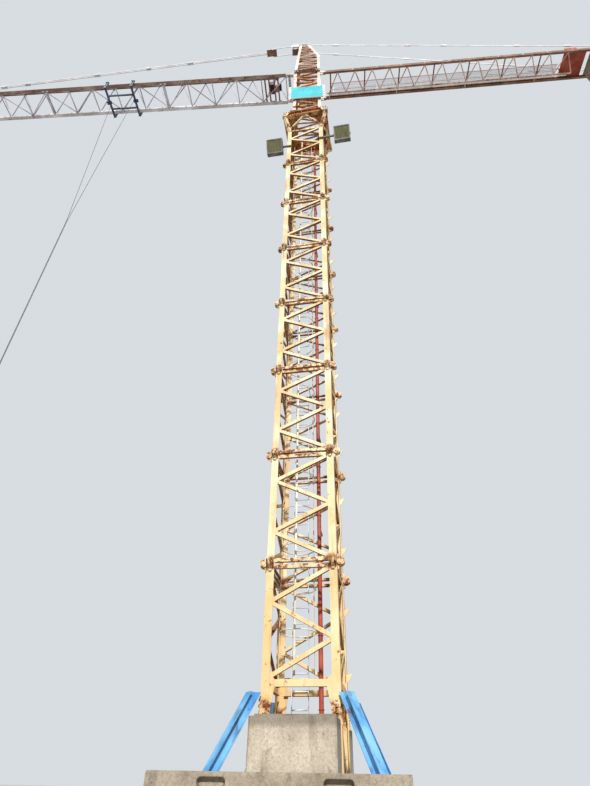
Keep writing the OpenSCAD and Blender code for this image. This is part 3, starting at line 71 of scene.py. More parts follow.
mastTop = crane["stubTop"] + crane["sections"] * crane["sectionHigh"]
ringZ = mastTop + crane["supportHigh"]
headZ = ringZ + 2 * crane["ringHigh"] + crane["ringGap"] + crane["tableThick"]
jibZ = headZ + jib["rise"]
pinZ = jibZ + jib["chord"] / 2
kneeZ = jibZ + head["kneeUp"]
apexZ = headZ + head["high"]
shoulderZ = apexZ - head["shoulderDrop"]
trolleyZ = jibZ - trolley["drop"]
rearEnd = counter["root"] + counter["bays"] * counter["bay"] - counter["tieIn"]


# frames of reference: the turned head, and the two jibs turned up about their root pins

def shift(x, y, z):
    return Matrix.Translation((x, y, z))


def spin(degrees, axis):
    return Matrix.Rotation(math.radians(degrees), 4, axis)


def flip(x, y, z):
    return Matrix.Diagonal((x, y, z, 1))


def aboutPin(out, degrees):
    return headFrame @ shift(out, 0, pinZ) @ spin(degrees, "Y") @ shift(-out, 0, -pinZ)


headFrame = spin(crane["slew"], "Z")
jibFrame = aboutPin(-jib["pinOut"], jib["incline"])
counterFrame = aboutPin(jib["pinOut"], -counter["incline"])
trolleyFrame = jibFrame @ shift(-trolley["out"], 0, 0)
toWall = Matrix(((0, 1, 0, 0), (1, 0, 0, 0), (0, 0, 1, 0), (0, 0, 0, 1)))
zUp, zDown, yAxis = (0, 0, 1), (0, 0, -1), (0, 1, 0)


def spot(place, at, aim, aimedIn=headFrame):
    # where a bolt or hoop sits in one frame, and its aim in another
    return place @ Vector(at), aimedIn.to_3x3() @ Vector(aim)


def every(start, end, step):
    # evenly spaced values from start that stay below end
    return [start + i * step for i in range(math.ceil((end - start) / step))]


# colours and finishes

def hexColour(text):
    # a written sRGB colour as linear numbers
    values = [int(text[i:i + 2], 16) / 255 for i in (0, 2, 4)]
    linear = [v / 12.92 if v <= 0.04045 else ((v + 0.055) / 1.055) ** 2.4 for v in values]
    return (*linear, 1.0)


class Shader:
    # a few short calls for wiring one material
    def __init__(self, name):
        self.material = bpy.data.materials.new(name)
        self.material.use_nodes = True
        self.tree = self.material.node_tree
        self.surface = self.tree.nodes["Principled BSDF"]
        self.place = self.tree.nodes.new("ShaderNodeTexCoord").outputs["Object"]

    def node(self, kind, **values):
        made = self.tree.nodes.new(kind)
        for key, value in values.items():
            setattr(made, key, value)
        return made

    def feed(self, node, values):
        # plain values go on the sockets, and other nodes' outputs are linked to them
        for key, value in values.items():
            if isinstance(value, bpy.types.NodeSocket):
                self.tree.links.new(value, node.inputs[key])
            else:
                node.inputs[key].default_value = value
        return node

    def noise(self, scale, detail=4.0, rough=0.55, stretch=(1, 1, 1), seed=0.0):
        mapping = self.feed(self.node("ShaderNodeMapping"), {
            "Scale": stretch, "Location": (seed, seed * 0.7, seed * 1.3), "Vector": self.place})
        noise = self.feed(self.node("ShaderNodeTexNoise"), {
            "Scale": scale, "Detail": detail, "Roughness": rough, "Vector": mapping.outputs["Vector"]})
        return noise.outputs["Fac"]

    def ramp(self, fac, low, high):
        # 0 below low, 1 above high, smooth between
        node = self.node("ShaderNodeMapRange", interpolation_type="SMOOTHSTEP")
        return self.feed(node, {"From Min": low, "From Max": high, "Value": fac}).outputs["Result"]

    def maths(self, operation, a, b, clamp=True):
        node = self.node("ShaderNodeMath", operation=operation, use_clamp=clamp)
        return self.feed(node, {0: a, 1: b}).outputs["Value"]

    def mix(self, fac, a, b):
        return self.feed(self.node("ShaderNodeMix", data_type="RGBA"), {0: fac, 6: a, 7: b}).outputs[2]

    def height(self):
        return self.feed(self.node("ShaderNodeSeparateXYZ"), {"Vector": self.place}).outputs["Z"]

    def bump(self, fac, strength, distance):
        values = {"Strength": strength, "Distance": distance, "Height": fac}
        self.paint({"Normal": self.feed(self.node("ShaderNodeBump"), values).outputs["Normal"]})

    def paint(self, values):
        self.feed(self.surface, values)


rustTones = {"dark": "4a2412", "light": "9a5424", "spread": 0.07}

# how worn paint is spread: its noises, and where each is cut from 0 to 1
spread = {"tone": {"detail": 5.0, "seed": 1.0}, "toneCut": (0.35, 0.68),
          "runs": {"detail": 6.0, "rough": 0.6, "stretch": (1, 1, 0.07), "seed": 3.0}, "runCut": (0.5, 0.72),
          "bloom": {"detail": 9.0, "rough": 0.72, "seed": 7.0}, "patchScale": 3,
          "patches": {"detail": 4.0, "seed": 9.0}, "jointCut": (0.2, 0.07), "jointFrom": 0.17,
          "jointTo": 0.05, "rustRough": 0.35, "bloomShare": 0.6, "fineShare": 0.25,
          "fine": {"scale": 90.0, "detail": 3.0}, "bump": 0.35, "bumpDeep": 0.006}


def paintTones(s, look):
    # old paint's colour and rust: two tones, rust blooms and rust runs
    tone = s.ramp(s.noise(look["toneScale"], **spread["tone"]), *spread["toneCut"])
    colour = s.mix(tone, hexColour(look["paint"]), hexColour(look["faded"]))
    runs = s.ramp(s.noise(look["runScale"], **spread["runs"]), *spread["runCut"])
    runs = s.maths("MULTIPLY", runs, look["runs"])
    colour = s.mix(runs, colour, hexColour(look["stain"]))
    bloom = s.noise(look["rustScale"], **spread["bloom"])
    rust = s.ramp(bloom, look["rustFrom"], look["rustFrom"] + rustTones["spread"])
    if "lowTo" in look:
        low = s.ramp(s.height(), look["lowTo"], look["lowFrom"])
        lowShare = s.maths("MULTIPLY", low, look["lowShare"])
        colour = s.mix(lowShare, colour, hexColour(look["lowTone"]))
        lowRust = s.ramp(bloom, look["lowRust"], look["lowRust"] + rustTones["spread"])
        rust = s.maths("MAXIMUM", rust, s.maths("MULTIPLY", low, lowRust))
    if "jointFrom" in look:
        above = s.maths("SUBTRACT", s.height(), look["jointFrom"], False)
        near = s.ramp(s.maths("PINGPONG", above, look["jointEvery"] / 2, False), *spread["jointCut"])
        start, end = look["rustFrom"] - spread["jointFrom"], look["rustFrom"] - spread["jointTo"]
        jointRust = s.ramp(bloom, start, end)
        rust = s.maths("MAXIMUM", rust, s.maths("MULTIPLY", near, jointRust))
    patches = s.noise(look["rustScale"] * spread["patchScale"], **spread["patches"])
    rustColour = s.mix(patches, hexColour(rustTones["dark"]), hexColour(rustTones["light"]))
    return s.mix(rust, colour, rustColour), rust, bloom


def paintedSteel(name, look, other=None, mask=None):
    # one paint, or two with the second where the mask is 1, under a chalky bump; for the jib's chords the
    # first is painted shade
    s = Shader(name)
    colour, rust, bloom = paintTones(s, look)
    if other:
        second, secondRust = paintTones(s, other)[:2]
        share = mask(s)
        colour = s.mix(share, colour, second)
        rust = s.maths("MAXIMUM", rust, s.maths("MULTIPLY", share, secondRust))
    rough = s.maths("ADD", s.maths("MULTIPLY", rust, spread["rustRough"]), look["rough"])
    s.paint({"Base Color": colour, "Roughness": rough})
    coarse = s.maths("MULTIPLY", bloom, spread["bloomShare"])
    fine = s.maths("MULTIPLY", s.noise(**spread["fine"]), spread["fineShare"])
    s.bump(s.maths("ADD", coarse, fine), spread["bump"], spread["bumpDeep"])
    return s.material


def turned(s):
    # the place in the turned head's own axes, as x and y
    back = (0, 0, math.radians(-crane["slew"]))
    mapping = s.feed(s.node("ShaderNodeMapping"), {"Rotation": back, "Vector": s.place})
    split = s.feed(s.node("ShaderNodeSeparateXYZ"), {"Vector": mapping.outputs["Vector"]})
    return split.outputs["X"], split.outputs["Y"]


def betweenChords(s):
    # 1 between the head's corner chords, whose edges draw in with height
    x = turned(s)[0]
    edge = head["wide"] / 2 - head["chord"] - 0.005
    leans = ((kneeZ, -edge, head["jibLean"] - edge), (shoulderZ, edge, edge - head["rearLean"]))
    edges = []
    for start, low, high in leans:
        edges.append(s.feed(s.node("ShaderNodeMapRange"), {
            "From Min": start, "From Max": apexZ, "To Min": low, "To Max": high, "Value": s.height()}))
    left, right = (node.outputs["Result"] for node in edges)
    return s.maths("MULTIPLY", s.maths("GREATER_THAN", x, left), s.maths("LESS_THAN", x, right))


def farSide(s):
    # 1 on the side of positive y in the head's axes; the chords there keep the paler paint, and the others
    # get painted shade
    return s.maths("GREATER_THAN", turned(s)[1], 0.0)


# concrete's layers: each one's noise, where it is cut from 0 to 1, and its share
cast = {"cloud": {"scale": 1.6, "detail": 6.0, "rough": 0.6, "seed": 2.0}, "cloudCut": (0.3, 0.72),
        "pores": {"scale": 42.0, "detail": 3.0, "rough": 0.5, "seed": 4.0}, "poreCut": (0.62, 0.7),
        "streaks": {"scale": 4.0, "detail": 7.0, "rough": 0.62, "stretch": (1, 1, 0.12), "seed": 5.0},
        "streakCut": (0.52, 0.74), "blots": {"scale": 5.5, "detail": 10.0, "rough": 0.7, "seed": 11.0},
        "blotCut": (0.56, 0.66), "grit": {"scale": 24.0, "detail": 6.0, "rough": 0.75, "seed": 8.0},
        "gritCut": (0.44, 0.6), "blotShare": 0.5, "bandShare": 0.6, "gritShare": 0.3, "poreShare": 0.45,
        "rough": 0.92, "swell": {"scale": 14.0, "detail": 8.0, "rough": 0.7}, "poreDeep": 0.4,
        "bump": 0.5, "bumpDeep": 0.012}


def castConcrete(name, look):
    s = Shader(name)
    cloud = s.ramp(s.noise(**cast["cloud"]), *cast["cloudCut"])
    colour = s.mix(cloud, hexColour(look["base"]), hexColour(look["light"]))
    pores = s.ramp(s.noise(**cast["pores"]), *cast["poreCut"])
    streaks = s.ramp(s.noise(**cast["streaks"]), *cast["streakCut"])
    blots = s.ramp(s.noise(**cast["blots"]), *cast["blotCut"])
    layers = [(streaks, look["streaks"], look["stain"]), (blots, cast["blotShare"], look["stain"])]
    if "bandFrom" in look:
        band = s.ramp(s.height(), look["bandFrom"], look["bandTo"])
        layers.append((band, cast["bandShare"], look["band"]))
    grit = s.ramp(s.noise(**cast["grit"]), *cast["gritCut"])
    layers += [(grit, cast["gritShare"], look["stain"]), (pores, cast["poreShare"], look["pores"])]
    for mask, share, tone in layers:
        colour = s.mix(s.maths("MULTIPLY", mask, share), colour, hexColour(tone))
    s.paint({"Base Color": colour, "Roughness": cast["rough"]})
    rises = s.maths("SUBTRACT", s.noise(**cast["swell"]), s.maths("MULTIPLY", pores, cast["poreDeep"]))
    s.bump(rises, cast["bump"], cast["bumpDeep"])
    return s.material


def wireRope():
    s = Shader("wireRope")
    strands = s.noise(60.0, 3.0, 0.5, (1, 1, 0.4), seed=2.0)
    colour = s.mix(strands, hexColour("2a2a2c"), hexColour("6d6a66"))
    s.paint({"Base Color": colour, "Metallic": 0.7, "Roughness": 0.5})
    s.bump(strands, 0.4, 0.002)
    return s.material


def lampGlass():
    s = Shader("lampGlass")
    flutes = s.noise(26.0, 2.0, 0.5, (1, 0.1, 0.1), seed=6.0)
    colour = s.mix(flutes, hexColour("45442f"), hexColour("86845f"))
    s.paint({"Base Color": colour, "Roughness": 0.12, "Coat Weight": 0.6})
    s.bump(flutes, 0.25, 0.004)
    return s.material


usualWear = {"runs": 0.5, "toneScale": 1.4, "runScale": 6.0, "rustScale": 4.0, "rustFrom": 0.6,
             "rough": 0.5}


def oldPaint(paint, faded, stain, **worn):
    # the usual wear, unless a paint says otherwise
    return {"paint": paint, "faded": faded, "stain": stain, **usualWear, **worn}


mastWear = {"jointFrom": crane["stubTop"] + crane["sectionHigh"], "jointEvery": crane["sectionHigh"],
            "lowTo": 9.0, "lowFrom": 2.0, "lowTone": "dcb474", "lowShare": 0.55, "lowRust": 0.59}
ringWear = {"lowTo": ringZ - crane["supportBeam"], "lowFrom": ringZ - crane["supportBeam"] - 0.06,
            "lowTone": "e6d3a6", "lowShare": 0.9, "lowRust": 0.62}
paints = {
    "mast": oldPaint("d3b078", "ecdcb6", "94602f", runs=0.7, toneScale=1.3, runScale=7.0, rustScale=6.5,
                     rustFrom=0.61, rough=0.52, **mastWear),
    # dark brown for the standing legs of the mast's braces: painted shade on their undersides, with rust
    "mastShadeAndRust": oldPaint("744a26", "a87a44", "46260f", runs=0.6, toneScale=1.3, runScale=7.0,
                          rustFrom=0.5, rough=0.6),
    "ring": oldPaint("a8682c", "cb8f46", "5a3418", runs=0.8, toneScale=2.0, rustFrom=0.5, rough=0.6,
                     **ringWear),
    "head": oldPaint("cdb59c", "efe6d8", "9a6a4a", runs=0.7, toneScale=1.1, rustScale=3.0, rustFrom=0.56,
                     rough=0.55),
    "headUpper": oldPaint("d3c3b6", "f1ebe2", "a5745e", runs=0.6, toneScale=1.1, rustScale=3.0, rough=0.55),
    "lacing": oldPaint("a3663f", "cf9f74", "6b3c22", runs=0.7, toneScale=1.1, rustScale=3.0,
                       rustFrom=0.52, rough=0.6),
    "lacingUpper": oldPaint("b58a76", "dcc3b2", "84543f", runs=0.6, toneScale=1.1, rustScale=3.0,
                            rustFrom=0.56, rough=0.6),
    "jib": oldPaint("9b949e", "cfccd6", "6e4a3c", runs=0.7, toneScale=0.9, runScale=5.0, rustScale=3.0,
                    rough=0.55),
    "nearChord": oldPaint("b3aba9", "e2dfdf", "7d5a48", toneScale=1.0, rustFrom=0.58),
    # the darker brown of one lower chord is painted shade, with rust
    "shadedChord": oldPaint("7a6258", "ab958a", "553628", runs=0.6, toneScale=1.2, rustScale=3.4,
                         rustFrom=0.54, rough=0.55),
    # girder: a dark brown that is rust together with painted shade of undersides
    "girder": oldPaint("63402e", "946a50", "3c2418", runs=0.7, rustScale=3.4, rustFrom=0.56, rough=0.6),
    "tie": oldPaint("c8c4c6", "eceaea", "8c6a60", runs=0.4, toneScale=1.2, rustFrom=0.64),
    "blue": oldPaint("4f97cf", "86bfe4", "4a5560", runs=0.55, toneScale=1.6, runScale=7.0, rustScale=4.5,
                     rustFrom=0.62),
    "navy": oldPaint("26304c", "46587c", "3a2c22", toneScale=1.8, runScale=7.0, rustScale=4.5),
    "oxide": oldPaint("8e3423", "b5543a", "4f2015", toneScale=2.2, runScale=8.0, rustScale=5.0,
                      rustFrom=0.62, rough=0.6),
    "pale": oldPaint("b9bfc4", "dde1e3", "8c7058", toneScale=1.7, runScale=7.0, rustFrom=0.64, rough=0.48),
    "white": oldPaint("cfd3d4", "eef0ef", "a0866f", runs=0.45, rustFrom=0.64, rough=0.45),
    "hoop": oldPaint("c9bd9f", "efe8d4", "8a6038", runs=0.6, toneScale=1.6),
    "sign": oldPaint("2fb3bd", "4cc9d0", "2c8f98", runs=0.35, toneScale=1.2, runScale=5.0, rustFrom=0.74,
                     rough=0.35),
    "lampGrey": oldPaint("4a4a42", "77776a", "2c2a22", toneScale=3.0, runScale=8.0, rustScale=6.0,
                         rustFrom=0.66),
    "rim": oldPaint("3d342b", "5a4f43", "2a2018", toneScale=6.0, runScale=9.0, rustScale=8.0, rough=0.8),
    "cyan": oldPaint("8fd2ea", "c4ebf6", "5b8ea0", runs=0.3, toneScale=3.0, runScale=7.0, rustScale=6.0,
                     rustFrom=0.68, rough=0.45),
    "hookYellow": oldPaint("e0a020", "f0c050", "5c4420", runs=0.4, toneScale=3.0, runScale=8.0,
                           rustScale=7.0, rough=0.45),
}
concretes = {
    "slab": {"base": "8c7e6c", "light": "ac9f8b", "stain": "5c4f40", "streaks": 0.75, "pores": "5b5348"},
    "block": {"base": "ac9f8b", "light": "cfc3ae", "stain": "6f604c", "streaks": 0.75, "pores": "5b5348",
              "bandFrom": 2.22, "bandTo": 2.34, "band": "5d564c"},
}
finish = {name: paintedSteel(name + "Paint", look) for name, look in paints.items()}
finish["head"] = paintedSteel("headPaintTwo", paints["head"], paints["lacing"], betweenChords)
finish["headUpper"] = paintedSteel("headUpperPaintTwo", paints["headUpper"], paints["lacingUpper"],
                                   betweenChords)
# the lower chords and collars: the paler paint where farSide is 1, and brown painted shade elsewhere
finish["chords"] = paintedSteel("chordPaintAndShade", paints["shadedChord"], paints["nearChord"], farSide)
finish.update({name: castConcrete(name + "Concrete", look) for name, look in concretes.items()})
finish["rope"] = wireRope()
finish["glass"] = lampGlass()
wears = {
    "blue": ["cross_base", "base_feet", "ballast_beams", "base_struts"],
    "slab": ["ballast_slab_front", "ballast_slab_back", "counterweights"],
    "block": ["ballast_block_front", "ballast_block_back"],
    "mast": ["mast_leg_front_left", "mast_leg_front_right", "mast_leg_back_left", "mast_leg_back_right",
             "mast_side_front", "mast_side_back", "mast_side_left", "mast_side_right"],
    "pale": ["ladder", "cjib_handrail"],
    "lampGrey": ["floodlight_left", "floodlight_right"],
    "tie": ["jib_ties", "cjib_ties"],
    "oxide": ["cable_riser", "hoist_winch", "load_hook"],
    "ring": ["ring_support", "slewing_ring_lower", "turntable"],
    "head": ["head_front", "head_back", "head_side_jib", "head_side_rear"],
    "headUpper": ["head_front_upper", "head_back_upper"],
    "white": ["head_top"],
    "sign": ["head_panel"],
    "jib": ["jib_side_front", "jib_side_back", "jib_floor"],
    "chords": ["jib_lower_chords"],
    "lacingUpper": ["cjib_bracing"],
    # these get the dark brown of rust with painted shade
    "girder": ["jib_upper_chord", "cjib_girders", "cjib_walkway", "jib_winch"],
    "navy": ["trolley_frame", "trolley_wheels"],
    "rope": ["hoist_falls"],
    "hookYellow": ["hook_block"],
}
for look, names in wears.items():
    for name in names:
        slots = nodes[name].data.materials
        for i in range(len(slots)):
            slots[i] = finish[look]
        if not slots:
            slots.append(finish[look])
print("finishes on the frame's own pieces")


def around(count):
    # angles evenly round a full turn
    return [2 * math.pi * i / count for i in range(count)]


# a rope wheel's outline: shares of the bore and half the width, then of the radius and half the width
wheelShape = {"hub": ((1, 0.8), (2, 0.8), (2.2, 0.4)), "rim": ((0.8, 0.4), (0.86, 1), (1, 1)),
              "groove": 0.9}


class Steelwork:
    # gathers shapes in one frame of reference into one mesh
    def __init__(self, place=None):
        self.bm = bmesh.new()
        self.place = place or Matrix()

    def ring(self, points):
        return [self.bm.verts.new(self.place @ Vector(p)) for p in points]

    def skin(self, rings, ends=True, endless=False):
        # faces between rings of as many points each, with a cap on each end unless the last meets the first
        pairs = list(zip(rings, rings[1:])) + ([(rings[-1], rings[0])] if endless else [])
        for low, high in pairs:
            for k in range(len(low)):
                m = (k + 1) % len(low)
                self.bm.faces.new((low[k], low[m], high[m], high[k]))
        if ends:
            self.bm.faces.new(rings[0][::-1])
            self.bm.faces.new(rings[-1])

    def solid(self, low, high):
        # a closed shape between two outlines
        self.skin([self.ring(low), self.ring(high)])

    def block(self, low, high, taper=0.0):
        # a block, drawn in by taper at its upper end
        (x0, y0, z0), (x1, y1, z1) = low, high
        t = taper
        self.solid([(x0, y0, z0), (x1, y0, z0), (x1, y1, z0), (x0, y1, z0)],
                   [(x0 + t, y0 + t, z1), (x1 - t, y0 + t, z1), (x1 - t, y1 - t, z1), (x0 + t, y1 - t, z1)])

    def onSide(self, side, low, high, taper=0.0):
        # a block on the side of y that side gives, 1 or -1
        y0, y1 = sorted((side * low[1], side * high[1]))
        self.block((low[0], y0, low[2]), (high[0], y1, high[2]), taper)

    def beam(self, a, b, wide, deep, facing):
        # a bar between two points, deep along facing
        a, b, facing = Vector(a), Vector(b), Vector(facing)
        along = (b - a).normalized()
        side = along.cross(facing).normalized() * wide / 2
        face = side.cross(along).normalized() * deep / 2
        self.solid(*[[p - side - face, p + side - face, p + side + face, p - side + face] for p in (a, b)])

    def round(self, a, b, radius, sides=12, endRadius=None):
        # a bar between two points, or a cone where its end has another radius
        a, b = Vector(a), Vector(b)
        turn = (b - a).to_track_quat("Z", "Y")
        corners = [Vector((math.cos(angle), math.sin(angle), 0)) for angle in around(sides)]
        self.solid(*[[p + turn @ (c * r) for c in corners]
                     for p, r in ((a, radius), (b, radius if endRadius is None else endRadius))])

    def lathe(self, centre, axis, profile, sides=28):
        # a closed profile of (radius, along) turned about an axis
        turn = Vector(axis).to_track_quat("Z", "Y")
        self.skin([self.ring([Vector(centre) + turn @ Vector((r * math.cos(a), r * math.sin(a), h))
                              for r, h in profile]) for a in around(sides)], ends=False, endless=True)

    def pulley(self, centre, axis, radius, wide, bore):
        # a rope wheel with flanges, a groove and a hub
        w = wide / 2
        half = [(bore * r, w * h) for r, h in wheelShape["hub"]]
        half += [(radius * r, w * h) for r, h in wheelShape["rim"]]
        groove = (radius * wheelShape["groove"], 0)
        self.lathe(centre, axis, [(r, -h) for r, h in half] + [groove] + half[::-1])

    def sweep(self, points, radii, sides=10):
        # a round bar along points in the plane of x and z, with a radius at each
        rings = []
        for i, p in enumerate(points):
            a, b = Vector(points[max(0, i - 1)]), Vector(points[min(len(points) - 1, i + 1)])
            outward = (b - a).normalized().cross(Vector(yAxis))
            corners = [math.cos(t) * outward + math.sin(t) * Vector(yAxis) for t in around(sides)]
            rings.append(self.ring([Vector(p) + radii[i] * corner for corner in corners]))
        self.skin(rings)

    def angleLegs(self, lines, wall, barWide, thick, deep, reach=None):
        # the standing legs of angle bars that are drawn as lines on a wall, along their lower edges
        for a, b in lines:
            a, b = Vector(a), Vector(b)
            run = b - a
            if reach and abs(run.x) > 1e-6:
                ends = sorted(((-reach - a.x) / run.x, (reach - a.x) / run.x))
                a, b = a + run * max(0, ends[0]), a + run * min(1, ends[1])
            below = Vector((run.y, -run.x)).normalized()
            if below.y > 0:
                below = -below
            low, high = below * barWide / 2, below * (barWide / 2 - thick)
            outline = [a + low, b + low, b + high, a + high]
            self.solid(*[[wall @ Vector((p.x, d, p.y)) for p in outline] for d in (0, deep)])

    def finish(self, name, look, body, slot):
        # a body of None leaves the piece on no body, as for the rope that runs between two
        bmesh.ops.recalc_face_normals(self.bm, faces=self.bm.faces)
        mesh = bpy.data.meshes.new(name)
        self.bm.to_mesh(mesh)
        self.bm.free()
        mesh.materials.append(finish[look])
        return placed(name, mesh, body)


def placed(name, mesh, body):
    piece = bpy.data.objects.new(name, mesh)
    bpy.context.scene.collection.objects.link(piece)
    if body:
        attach(piece, body)
    return piece


class Repeater:
    # a small geometry-node tree that sets one shape on every spot and turns it along the spot's aim
    def __init__(self, name, sizes):
        self.tree = bpy.data.node_groups.new(name, "GeometryNodeTree")
        self.socket("Geometry", "INPUT", "NodeSocketGeometry")
        for label in sizes:
            self.socket(label, "INPUT", "NodeSocketFloat")
        self.socket("Geometry", "OUTPUT", "NodeSocketGeometry")
        self.sizes = sizes
        self.start = self.tree.nodes.new("NodeGroupInput")

    def socket(self, label, way, kind):
        self.tree.interface.new_socket(label, in_out=way, socket_type=kind)

    def node(self, kind, links=None, **values):
        made = self.tree.nodes.new(kind)
        for key, value in values.items():
            setattr(made, key, value)
        for key, value in (links or {}).items():
            if isinstance(value, bpy.types.NodeSocket):
                self.tree.links.new(value, made.inputs[key])
            else:
                made.inputs[key].default_value = value
        return made

    def size(self, label, factor=1.0):
        scaled = self.node("ShaderNodeMath", {0: self.start.outputs[label], 1: factor}, operation="MULTIPLY")
        return scaled.outputs[0]

    def raised(self, shape, height):
        lift = self.node("ShaderNodeCombineXYZ", {"Z": height}).outputs[0]
        return self.node("GeometryNodeTransform", {"Geometry": shape, "Translation": lift}).outputs[0]

    def set(self, name, shape, spots, look, body, slot):
        # spots are (place, aim); returns one plain mesh that rides on body
        aim = self.node("GeometryNodeInputNamedAttribute", {"Name": "aim"}, data_type="FLOAT_VECTOR")
        turn = self.node("FunctionNodeAlignRotationToVector", {"Vector": aim.outputs["Attribute"]}, axis="Z")
        many = self.node("GeometryNodeInstanceOnPoints", {
            "Points": self.start.outputs["Geometry"], "Instance": shape, "Rotation": turn.outputs[0]})
        real = self.node("GeometryNodeRealizeInstances", {"Geometry": many.outputs[0]})
        painted = self.node("GeometryNodeSetMaterial", {
            "Geometry": real.outputs[0], "Material": finish[look]})
        self.node("NodeGroupOutput", {"Geometry": painted.outputs[0]})
        points = bpy.data.meshes.new(name + "Spots")
        points.from_pydata([tuple(place) for place, aimed in spots], [], [])
        aims = points.attributes.new("aim", "FLOAT_VECTOR", "POINT")
        for i, (place, aimed) in enumerate(spots):
            aims.data[i].vector = aimed
        carrier = bpy.data.objects.new(name + "Spots", points)
        bpy.context.scene.collection.objects.link(carrier)
        maker = carrier.modifiers.new("repeat", "NODES")
        maker.node_group = self.tree
        for item in self.tree.interface.items_tree:
            if item.in_out == "INPUT" and item.name in self.sizes:
                maker[item.identifier] = float(self.sizes[item.name])
        bpy.context.view_layer.update()
        graph = bpy.context.evaluated_depsgraph_get()
        mesh = bpy.data.meshes.new_from_object(carrier.evaluated_get(graph), depsgraph=graph)
        mesh.name = name
        carrier.modifiers.remove(maker)
        bpy.data.objects.remove(carrier)
        return placed(name, mesh, body)


def addBolts(name, spots, across, high, look, body, slot):
    # hexagon heads on round washers
    tree = Repeater(name + "Tree", {"Across": across, "Head height": high})
    both = tree.node("GeometryNodeJoinGeometry")
    for sides, wide, deep, lift in ((6, 0.577, 0.8, 0.6), (12, 0.9, 0.4, 0.1)):
        shape = tree.node("GeometryNodeMeshCylinder", {"Vertices": sides, "Radius": tree.size("Across", wide),
                                                       "Depth": tree.size("Head height", deep)})
        lifted = tree.raised(shape.outputs["Mesh"], tree.size("Head height", lift))
        tree.tree.links.new(lifted, both.inputs[0])
    return tree.set(name, both.outputs[0], spots, look, body, slot)


def addHoops(name, spots, radius, wire, look, body, slot):
    # full rings of bar, square to each spot's aim
    tree = Repeater(name + "Tree", {"Radius": radius, "Bar": wire, "Sweep": 2 * math.pi})
    arc = tree.node("GeometryNodeCurveArc", {"Resolution": 20, "Radius": tree.size("Radius"),
                                             "Sweep Angle": tree.size("Sweep")})
    section = tree.node("GeometryNodeCurvePrimitiveCircle", {
        "Resolution": 6, "Radius": tree.size("Bar", 0.5)})
    bent = tree.node("GeometryNodeCurveToMesh", {
        "Curve": arc.outputs["Curve"], "Profile Curve": section.outputs["Curve"], "Fill Caps": True})
    return tree.set(name, bent.outputs[0], spots, look, body, slot)


def addSlats(name, spots, long, wide, thick, look, body, slot):
    # straight flat bars, thick along each spot's aim
    tree = Repeater(name + "Tree", {"Length": long, "Width": wide, "Thickness": thick})
    sizes = tree.node("ShaderNodeCombineXYZ", {"X": tree.size("Width"), "Y": tree.size("Length"),
                                               "Z": tree.size("Thickness")})
    bar = tree.node("GeometryNodeMeshCube", {"Size": sizes.outputs[0]})
    return tree.set(name, bar.outputs["Mesh"], spots, look, body, slot)


# mast: the standing legs of its angle braces, pin heads and ladder hoops

mast = {"legDeep": 0.058, "legThin": 0.009, "reach": 0.545, "pinHead": 0.085, "pinHeadHigh": 0.014,
        "pinGap": 0.03, "hoopFrom": 0.5, "hoopEvery": 0.83, "hoopRadius": 0.36, "hoopBar": 0.022,
        "hoopBack": 0.19, "strapDown": 0.05, "strapWide": 0.035, "strap": 0.008,
        "strapAngles": (200, 270, 340), "ladderX": -0.16, "ladderY": 0.26, "ladderWide": 0.32,
        "riserX": 0.25, "riserY": 0.18, "riserWide": 0.09, "clampFrom": 0.4, "clampEvery": 1.25,
        "clampGap": 0.004, "clampBar": 0.02, "diagonals": 4, "firstDiagonals": 3,
        "stubDown": 0.15, "stubUp": 0.16, "railOut": 0.85}


def zigzagDown(x, foot, step, count):
    # diagonals that go from side to side, counted from the top one
    heights = [foot + k * step for k in range(count, -1, -1)]
    sides = [x if k % 2 == 0 else -x for k in range(count)]
    return [((side, a), (-side, b)) for side, a, b in zip(sides, heights, heights[1:])]


def mastLines():
    # the zigzags and rails of one side, as the solids have them
    x = (crane["mastWide"] - 1.2 * crane["legWide"]) / 2
    wide, stub, high = crane["braceWide"], crane["stubTop"], crane["sectionHigh"]
    lines, clear, count = [], wide * 1.1, mast["diagonals"]
    for i in range(1, crane["sections"]):
        lines += zigzagDown(x, stub + i * high + clear, (high - 2 * clear) / count, count)
    firstRail = stub + crane["railUp"]
    low, count = firstRail + wide, mast["firstDiagonals"]
    lines += zigzagDown(x, low, (stub + high - clear - low) / count, count)
    rails = [stub + i * high + s * wide * mast["railOut"]
             for i in range(1, crane["sections"] + 1) for s in (-1, 1)][:-1]
    lines += [((-x, z), (x, z)) for z in rails + [firstRail - wide / 4]]
    lines.append(((-x, stub - mast["stubDown"]), (x, crane["crossTop"] + mast["stubUp"])))
    return lines


